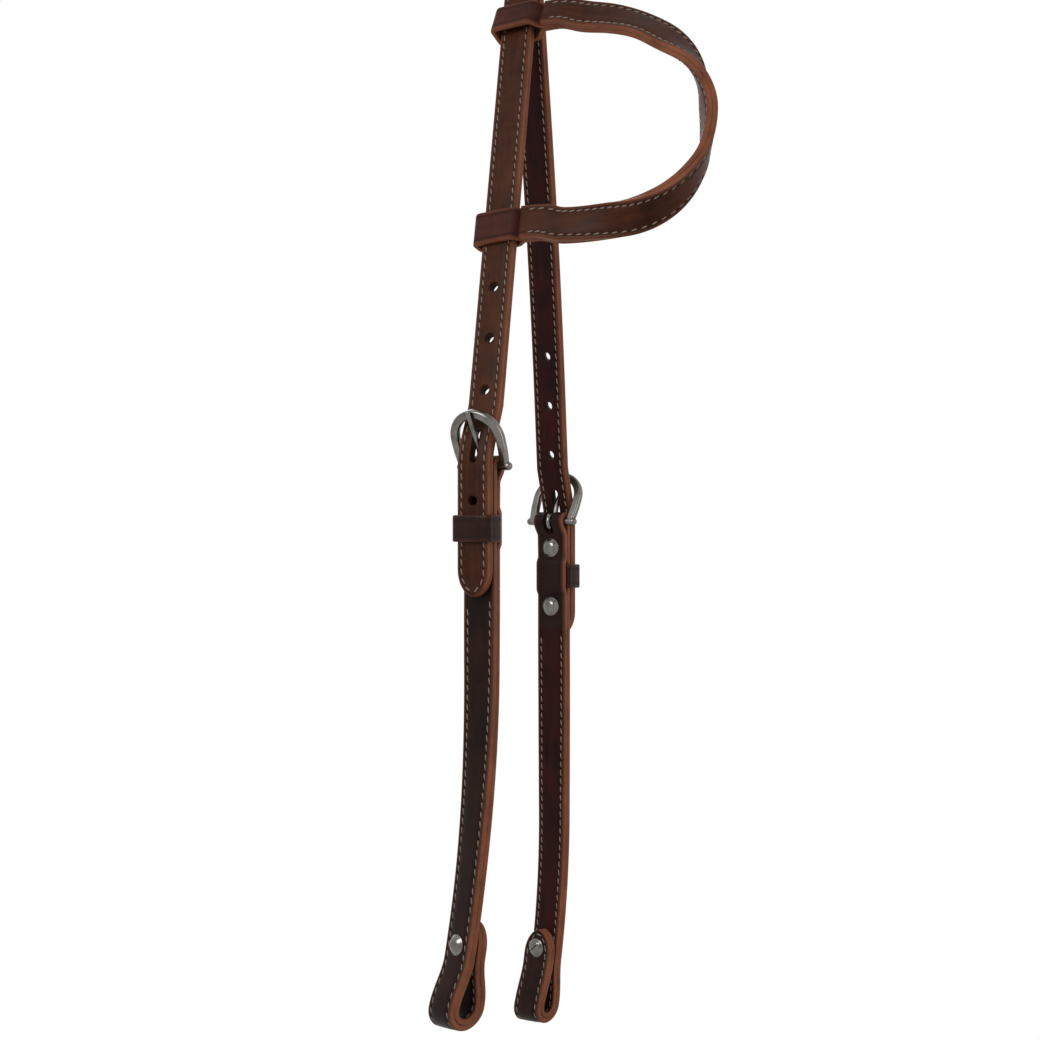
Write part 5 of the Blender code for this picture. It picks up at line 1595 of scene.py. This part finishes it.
def ring_places(right, front, back, corner, seam):
    """Open ring of (across, out) places round a strap, with its seam at the back."""
    inside = right - corner
    start = [(mix(seam, inside, i / HALF_BACK_STEPS), back) for i in range(HALF_BACK_STEPS)]
    front_steps = 2 * HALF_BACK_STEPS
    places = start + arc((inside, back + corner), corner, -math.pi / 2, math.pi / 2, KEEPER_CORNER_STEPS)
    places += arc((inside, front - corner), corner, 0.0, math.pi / 2, KEEPER_CORNER_STEPS)
    for i in range(1, front_steps):
        bulge = cheek.keeper_bulge * (1 - (i / HALF_BACK_STEPS - 1) ** 2)
        places.append((mix(inside, -inside, i / front_steps), front + bulge))
    places += arc((-inside, front - corner), corner, math.pi / 2, math.pi / 2, KEEPER_CORNER_STEPS)
    places += arc((-inside, back + corner), corner, math.pi, math.pi / 2, KEEPER_CORNER_STEPS)
    return places + [(-x, y) for x, y in reversed(start)]


def make_keeper(side):
    height = side.heel - cheek.keeper_drop
    right = strap.width / 2 + cheek.keeper_room + cheek.keeper_layer / 2
    front = 2 * crown_half() + 2 * strap.gap + cheek.keeper_layer / 2
    back = -(strap.cheek_layer + strap.gap + cheek.keeper_skive / 2)
    ring = ring_places(right, front, back, cheek.keeper_corner, strap.gap / 2)
    stations = []
    for spot, slope in zip(ring, slopes(ring)):
        skived = abs(spot[1] - back) < cheek.keeper_skive / 4
        half = (cheek.keeper_skive if skived else cheek.keeper_layer) / 2
        out = side.across(height) * slope[1] - side.out(height) * slope[0]
        stations.append(Station(side.place(spot[1], height, spot[0]), UP, out, cheek.keeper_width / 2,
                                -half, half))
    measure(stations)
    name = f"{side.side}_keeper_band"
    mesh = sweep(name, stations, [plain_outline(station) for station in stations])
    add_piece(name, mesh, keeper_leather(), "straps", (f"{side.side}_keeper",))


# Metal

def lathe(name, profile, matrix, segments=LATHE_STEPS):
    """Solid of revolution about local Z from an outline that runs down its outer side."""
    bm = bmesh.new()
    verts = [bm.verts.new(Vector((radius, 0.0, height))) for radius, height in profile]
    edges = [bm.edges.new(pair) for pair in zip(verts, verts[1:])]
    bmesh.ops.spin(bm, geom=verts + edges, cent=(0.0, 0.0, 0.0), axis=(0.0, 0.0, 1.0),
                   angle=2 * math.pi, steps=segments, use_merge=True)
    bmesh.ops.remove_doubles(bm, verts=bm.verts, dist=strap.seam / 60)
    bm.transform(matrix)
    return finish_mesh(name, bm, SHARP_EDGE)


def domed_profile(radius, height):
    """A dome with a rolled rim and a small flat polished on its crown."""
    shoulder = height - DOME_STEP
    roll = DOME_RIM * 0.4
    points = [(0.0, height), (metal.flat_disc * FLAT_KEEP, height), (metal.flat_disc, shoulder)]
    for i in range(1, DOME_STEPS + 1):
        part = i / DOME_STEPS
        points.append((mix(metal.flat_disc, radius - roll, part),
                       DOME_RIM + (shoulder - DOME_RIM) * math.cos(math.pi / 2 * part)))
    for i in range(1, DOME_STEPS // 2 + 1):
        bend = math.pi / 2 - math.pi * i / (DOME_STEPS // 2)
        points.append((radius - roll + roll * math.cos(bend), DOME_RIM / 2 * (1 + math.sin(bend))))
    return points


def flat_profile(radius, height):
    """A flat head with a bevelled rim."""
    return [(0.0, height), (radius - BEVEL, height), (radius, height - BEVEL), (radius, 0.0)]


def screw_post(side, label, w, height, facing, stack, head):
    """A post's barrel below its head, with its threaded bore."""
    depth = stack - POST_SHORT
    profile = head + [(metal.barrel, 0.0), (metal.barrel, -depth), (POST_BORE, -depth),
                      (POST_BORE, -BORE_TOP), (0.0, -BORE_TOP)]
    node = f"{side.side}_{label}_screw_post"
    mesh = lathe(f"{node}_turned", profile, side.screw_matrix(w, height, facing))
    add_piece(f"{node}_turned", mesh, screw_nickel(), "straps", (node,))


def screw(side, label, w, height, facing, stack, head, top, depth, slot_turn):
    """A screw's shank below its head, with the driver slot cut in its top."""
    length_in = stack - MM
    profile = head + [(SCREW_SHANK, 0.0), (SCREW_SHANK, -length_in), (0.0, -length_in)]
    node = f"{side.side}_{label}_screw"
    matrix = side.screw_matrix(w, height, facing) @ Matrix.Rotation(slot_turn, 4, 'Z')
    obj = add_piece(f"{node}_turned", lathe(f"{node}_turned", profile, matrix), screw_nickel(), "straps",
                    (node,))
    bm = bmesh.new()
    size = Matrix.Diagonal((metal.head * 3, metal.slot_width, 2 * depth, 1.0))
    bmesh.ops.create_cube(bm, size=1.0, matrix=matrix @ Matrix.Translation((0.0, 0.0, top)) @ size)
    cut_with(obj, f"{node}_slot", [finish_mesh(f"{node}_slot", bm)])


def make_screws(side):
    recess = metal.flat_height + strap.gap
    dome = domed_profile(metal.head, metal.dome)
    flat = flat_profile(metal.flat_head, metal.flat_height)
    stack = -lap_back() - recess + strap.gap
    for label, drop in (("upper", cheek.upper_screw), ("lower", cheek.lower_screw)):
        height = side.heel - drop
        screw_post(side, label, lap_back() - strap.seam, height, -1, stack - strap.gap + strap.seam, dome)
        screw(side, label, -recess + strap.gap / 2, height, 1, stack, flat, metal.flat_height,
              metal.slot_depth / 2, FLAT_SLOT_TURN)
    height = side.bottom + cheek.bit_screw
    stack = -bit_back() + strap.gap
    screw_post(side, "bit", strap.seam, height, 1, stack, dome)
    screw(side, "bit", bit_back() - strap.seam, height, -1, stack, dome, metal.dome, metal.slot_depth,
          BIT_SLOT_TURN)


def rounded_bar(station):
    """Rounded outline of the buckle frame's bar, with points that keep its faces flat."""
    inside = station.half - metal.frame_round
    low, high = station.low, station.high
    right = [(inside * FLAT_KEEP, low, 0.0)]
    for level, start in ((low + metal.frame_round, -math.pi / 2), (high - metal.frame_round, 0.0)):
        right += quarter((inside, level), metal.frame_round, start, BAR_ROUND_STEPS, 0.0, 0.0)
    right.append((inside * FLAT_KEEP, high, 0.0))
    return right + [(-x, y, burnish) for x, y, burnish in reversed(right)]


def buckle_frame(side):
    matrix = side.matrix(frame_lean(side.leg))
    edge = [(mix(metal.heel_half, metal.arc_radius, x), metal.arc_height * z) for x, z in FRAME_SIDE_SHARES]
    edge[0] = (metal.heel_half, -metal.bar / 2)
    line = edge + arc((0.0, metal.arc_height), metal.arc_radius, 0.0, math.pi, FRAME_ARC_STEPS)
    line += [(-x, z) for x, z in reversed(edge)]
    half = metal.frame_thickness / 2
    turn_matrix = matrix.to_3x3()
    out = turn_matrix @ Vector((0.0, -1.0, 0.0))
    stations = []
    for (x, z), slope in zip(line, slopes(line)):
        across = turn_matrix @ Vector((slope[1], 0.0, -slope[0]))
        point = matrix @ Vector((x, 0.0, z))
        stations.append(Station(point, across, out, metal.frame_width / 2, -half, half))
    measure(stations)
    shells = [sweep("frame_arc", stations, [rounded_bar(station) for station in stations])]
    end = metal.heel_half + metal.frame_width / 2 + metal.knob - metal.bar
    profile = []
    for i in range(KNOB_STEPS):
        bend = math.pi / 2 * i / KNOB_STEPS
        profile.append((metal.bar * math.sin(bend), end + metal.bar * math.cos(bend)))
    profile.append((metal.bar, end))
    profile += [(radius, -height) for radius, height in reversed(profile)]
    shells.append(lathe("heel_bar", profile, matrix @ Matrix.Rotation(math.pi / 2, 4, 'Y'),
                        BAR_LATHE_STEPS))
    name = f"{side.side}_buckle_frame"
    add_piece(f"{name}_cast", store_mesh(f"{name}_cast", join_meshes(shells), FRAME_SHARP),
              buckle_nickel(), f"{side.side}_frame", (name,))


def buckle_tongue(side):
    matrix = side.matrix()
    line = [(matrix @ Vector((0.0, -spot[0], spot[1])), radius)
            for spot, radius in tongue_line(frame_lean(side.leg))]
    tip, tip_radius = line[0]
    ahead = (tip - line[1][0]).normalized()
    bends = [math.pi / 2 * (i + TIP_OPEN) / (TIP_STEPS + TIP_OPEN) for i in range(TIP_STEPS)]
    line = [(tip + ahead * tip_radius * math.cos(bend), tip_radius * math.sin(bend)) for bend in bends] + line
    side_axis = (matrix.to_3x3() @ Vector((1.0, 0.0, 0.0))).normalized()
    rings = []
    for i, (place, radius) in enumerate(line):
        along = (line[min(i + 1, len(line) - 1)][0] - line[max(i - 1, 0)][0]).normalized()
        out = along.cross(side_axis)
        bends = [2 * math.pi * k / TONGUE_SIDES for k in range(TONGUE_SIDES)]
        rings.append([place + (side_axis * math.cos(bend) + out * math.sin(bend)) * radius for bend in bends])
    bm = bmesh.new()
    carry_rings(bm, rings)
    name = f"{side.side}_buckle_tongue"
    add_piece(f"{name}_bent", finish_mesh(f"{name}_bent", bm, TONGUE_SHARP), buckle_nickel(),
              f"{side.side}_tongue", (name,))


# Ear strap

def make_ear():
    body = "ear_piece"
    plane = EarPlane()
    loop = EarLoop(plane)
    outer, lining, seam = [], [], []
    back = (-strap.gap / 2 - strap.ear_layer, -strap.seam / 2)
    for i, spot in enumerate(loop.points):
        across, out = loop.directions(i)
        centre = plane.place(*spot)
        run = min(loop.runs[i], loop.total - loop.runs[i])
        half = loop.width(i) / 2
        high = strap.gap / 2 + splice_lift(run) + strap.ear_layer
        low = strap.seam / 2 + (splice_thickness(run) + strap.seam if run < ear.splice else 0.0)
        crease = ease(run / (2 * strap.stitch_pitch))
        for row, limits in ((outer, (low, high)), (lining, back), (seam, back)):
            row.append(Station(centre, across, out, half, *limits, loop.runs[i], crease))
    sewn_strap("ear_grain_layer", outer, grain_leather(), body, "ear_strap")
    lower = wrap_stations(plane, ear.lower_down, 0.0, ear.width, ear.start)
    upper = wrap_stations(plane, ear.upper_down, ear.upper_skew, ear.upper_width, ear.upper_start)
    whole = loop.lower_splice() + lower + lining[1:-1] + list(reversed(upper)) + loop.upper_splice()
    sewn_strap("ear_wrap_layer", measure(align(whole)), wrap_leather(), body, "ear_lining")
    mark_grooves(seam)
    start = strap.stitch_pitch / 2
    paths = seam_path(outer, start, loop.total - start, False, False)
    add_stitches("ear_outer_stitches", Ribbon(outer, 1), paths, body)
    add_stitches("ear_inner_stitches", Ribbon(seam, -1), paths, body)


# Stage

def add_lamp(name, place, target, size, power):
    """Area lamp at a place, with its face towards a target."""
    lamp = bpy.data.lights.new(name, 'AREA')
    lamp.shape = 'RECTANGLE'
    lamp.size, lamp.size_y = size
    lamp.energy = power
    facing = (target - place).to_track_quat('-Z', 'Y').to_matrix().to_4x4()
    facing.translation = place
    link_object(name, lamp).matrix_world = facing


def camera_place(right, ahead, height):
    """Place in the room seen from the camera: to its right, ahead of the headstall, and up."""
    heading = Matrix.Rotation(stage.camera_azimuth, 3, 'Z')
    middle = Vector((0.0, 0.0, stage.camera_z))
    return middle + heading @ Vector((right, ahead, height))


def make_stage():
    bm = bmesh.new()
    bmesh.ops.create_circle(bm, cap_ends=True, segments=FLOOR_SIDES, radius=stage.floor_radius,
                            matrix=Matrix.Translation((0.0, 0.0, stage.floor_drop)))
    mesh = store_mesh("paper_floor", bm)
    mesh.materials.append(studio_paper())
    floor = link_object("paper_floor", mesh)

    middle = camera_place(0.0, 0.0, 0.0)
    for name, place, size, power in LAMPS:
        add_lamp(name, camera_place(*place), middle, size, getattr(stage, power))

    world = bpy.data.worlds.new("white_studio")
    bpy.context.scene.world = world
    world.use_nodes = True
    tree = world.node_tree
    sky = tree.nodes["Background"]
    strength = add_node(tree, "MapRange", {"Value": background_rays(tree), "To Min": stage.sky,
                                           "To Max": 1.0}).outputs[0]
    tree.links.new(strength, sky.inputs["Strength"])
    sky.inputs["Color"].default_value = (1.0, 1.0, 1.0, 1.0)

    lens = bpy.data.cameras.new("photo_camera")
    lens.lens = stage.lens
    lens.sensor_width = 36.0
    camera = link_object("photo_camera", lens)
    turned = Matrix.Rotation(stage.camera_azimuth, 4, 'Z') @ Matrix.Rotation(math.pi / 2, 4, 'X')
    turned.translation = Vector((stage.camera_x, stage.camera_y, stage.camera_z))
    camera.matrix_world = turned
    bpy.context.scene.camera = camera
    bpy.context.scene.view_settings.view_transform = 'Standard'


# Operators

class HEADSTALL_OT_crown(bpy.types.Operator):
    """Make the doubled crown strap with its holes and stitching"""

    bl_idname = "headstall.crown"
    bl_label = "Crown"

    def execute(self, context):
        make_crown()
        return {'FINISHED'}


class HEADSTALL_OT_cheeks(bpy.types.Operator):
    """Make both cheek straps with their buckle folds and bit loops"""

    bl_idname = "headstall.cheeks"
    bl_label = "Cheeks"

    def execute(self, context):
        for name in SIDES:
            make_cheek(Cheek(name))
        return {'FINISHED'}


class HEADSTALL_OT_keepers(bpy.types.Operator):
    """Make the leather keepers below the buckles"""

    bl_idname = "headstall.keepers"
    bl_label = "Keepers"

    def execute(self, context):
        for name in SIDES:
            make_keeper(Cheek(name))
        return {'FINISHED'}


class HEADSTALL_OT_buckles(bpy.types.Operator):
    """Make the buckle frames and their tongues"""

    bl_idname = "headstall.buckles"
    bl_label = "Buckles"

    def execute(self, context):
        for name in SIDES:
            side = Cheek(name)
            buckle_frame(side)
            buckle_tongue(side)
        return {'FINISHED'}


class HEADSTALL_OT_screws(bpy.types.Operator):
    """Make the binding screws and their posts"""

    bl_idname = "headstall.screws"
    bl_label = "Screws"

    def execute(self, context):
        for name in SIDES:
            make_screws(Cheek(name))
        return {'FINISHED'}


class HEADSTALL_OT_ear(bpy.types.Operator):
    """Make the ear strap with the wraps that slide on the crown"""

    bl_idname = "headstall.ear"
    bl_label = "Ear strap"

    def execute(self, context):
        make_ear()
        return {'FINISHED'}


class HEADSTALL_OT_stage(bpy.types.Operator):
    """Set the floor, the lamps, the white room and the camera"""

    bl_idname = "headstall.stage"
    bl_label = "Stage"

    def execute(self, context):
        make_stage()
        return {'FINISHED'}


OPERATORS = (
    HEADSTALL_OT_crown,
    HEADSTALL_OT_cheeks,
    HEADSTALL_OT_keepers,
    HEADSTALL_OT_buckles,
    HEADSTALL_OT_screws,
    HEADSTALL_OT_ear,
    HEADSTALL_OT_stage,
)


class HEADSTALL_PT_panel(bpy.types.Panel):
    """Lists the steps that dress the headstall"""

    bl_idname = "HEADSTALL_PT_panel"
    bl_label = "Headstall"
    bl_space_type = 'VIEW_3D'
    bl_region_type = 'UI'
    bl_category = "Headstall"

    def draw(self, context):
        for operator in OPERATORS:
            self.layout.operator(operator.bl_idname)


SETTINGS = (
    StrapSettings,
    HangSettings,
    CheekSettings,
    MetalSettings,
    EarSettings,
    FinishSettings,
    StageSettings,
    HeadstallSettings,
)


def register():
    for item in (*SETTINGS, *OPERATORS, HEADSTALL_PT_panel):
        bpy.utils.register_class(item)
    bpy.types.Scene.headstall = PointerProperty(type=HeadstallSettings, name="Headstall",
                                                description="Settings of the headstall")


def unregister():
    del bpy.types.Scene.headstall
    for item in reversed((*SETTINGS, *OPERATORS, HEADSTALL_PT_panel)):
        bpy.utils.unregister_class(item)


def main():
    register()
    for operator in OPERATORS:
        group, name = operator.bl_idname.split(".")
        getattr(getattr(bpy.ops, group), name)()


if __name__ == "__main__":
    main()
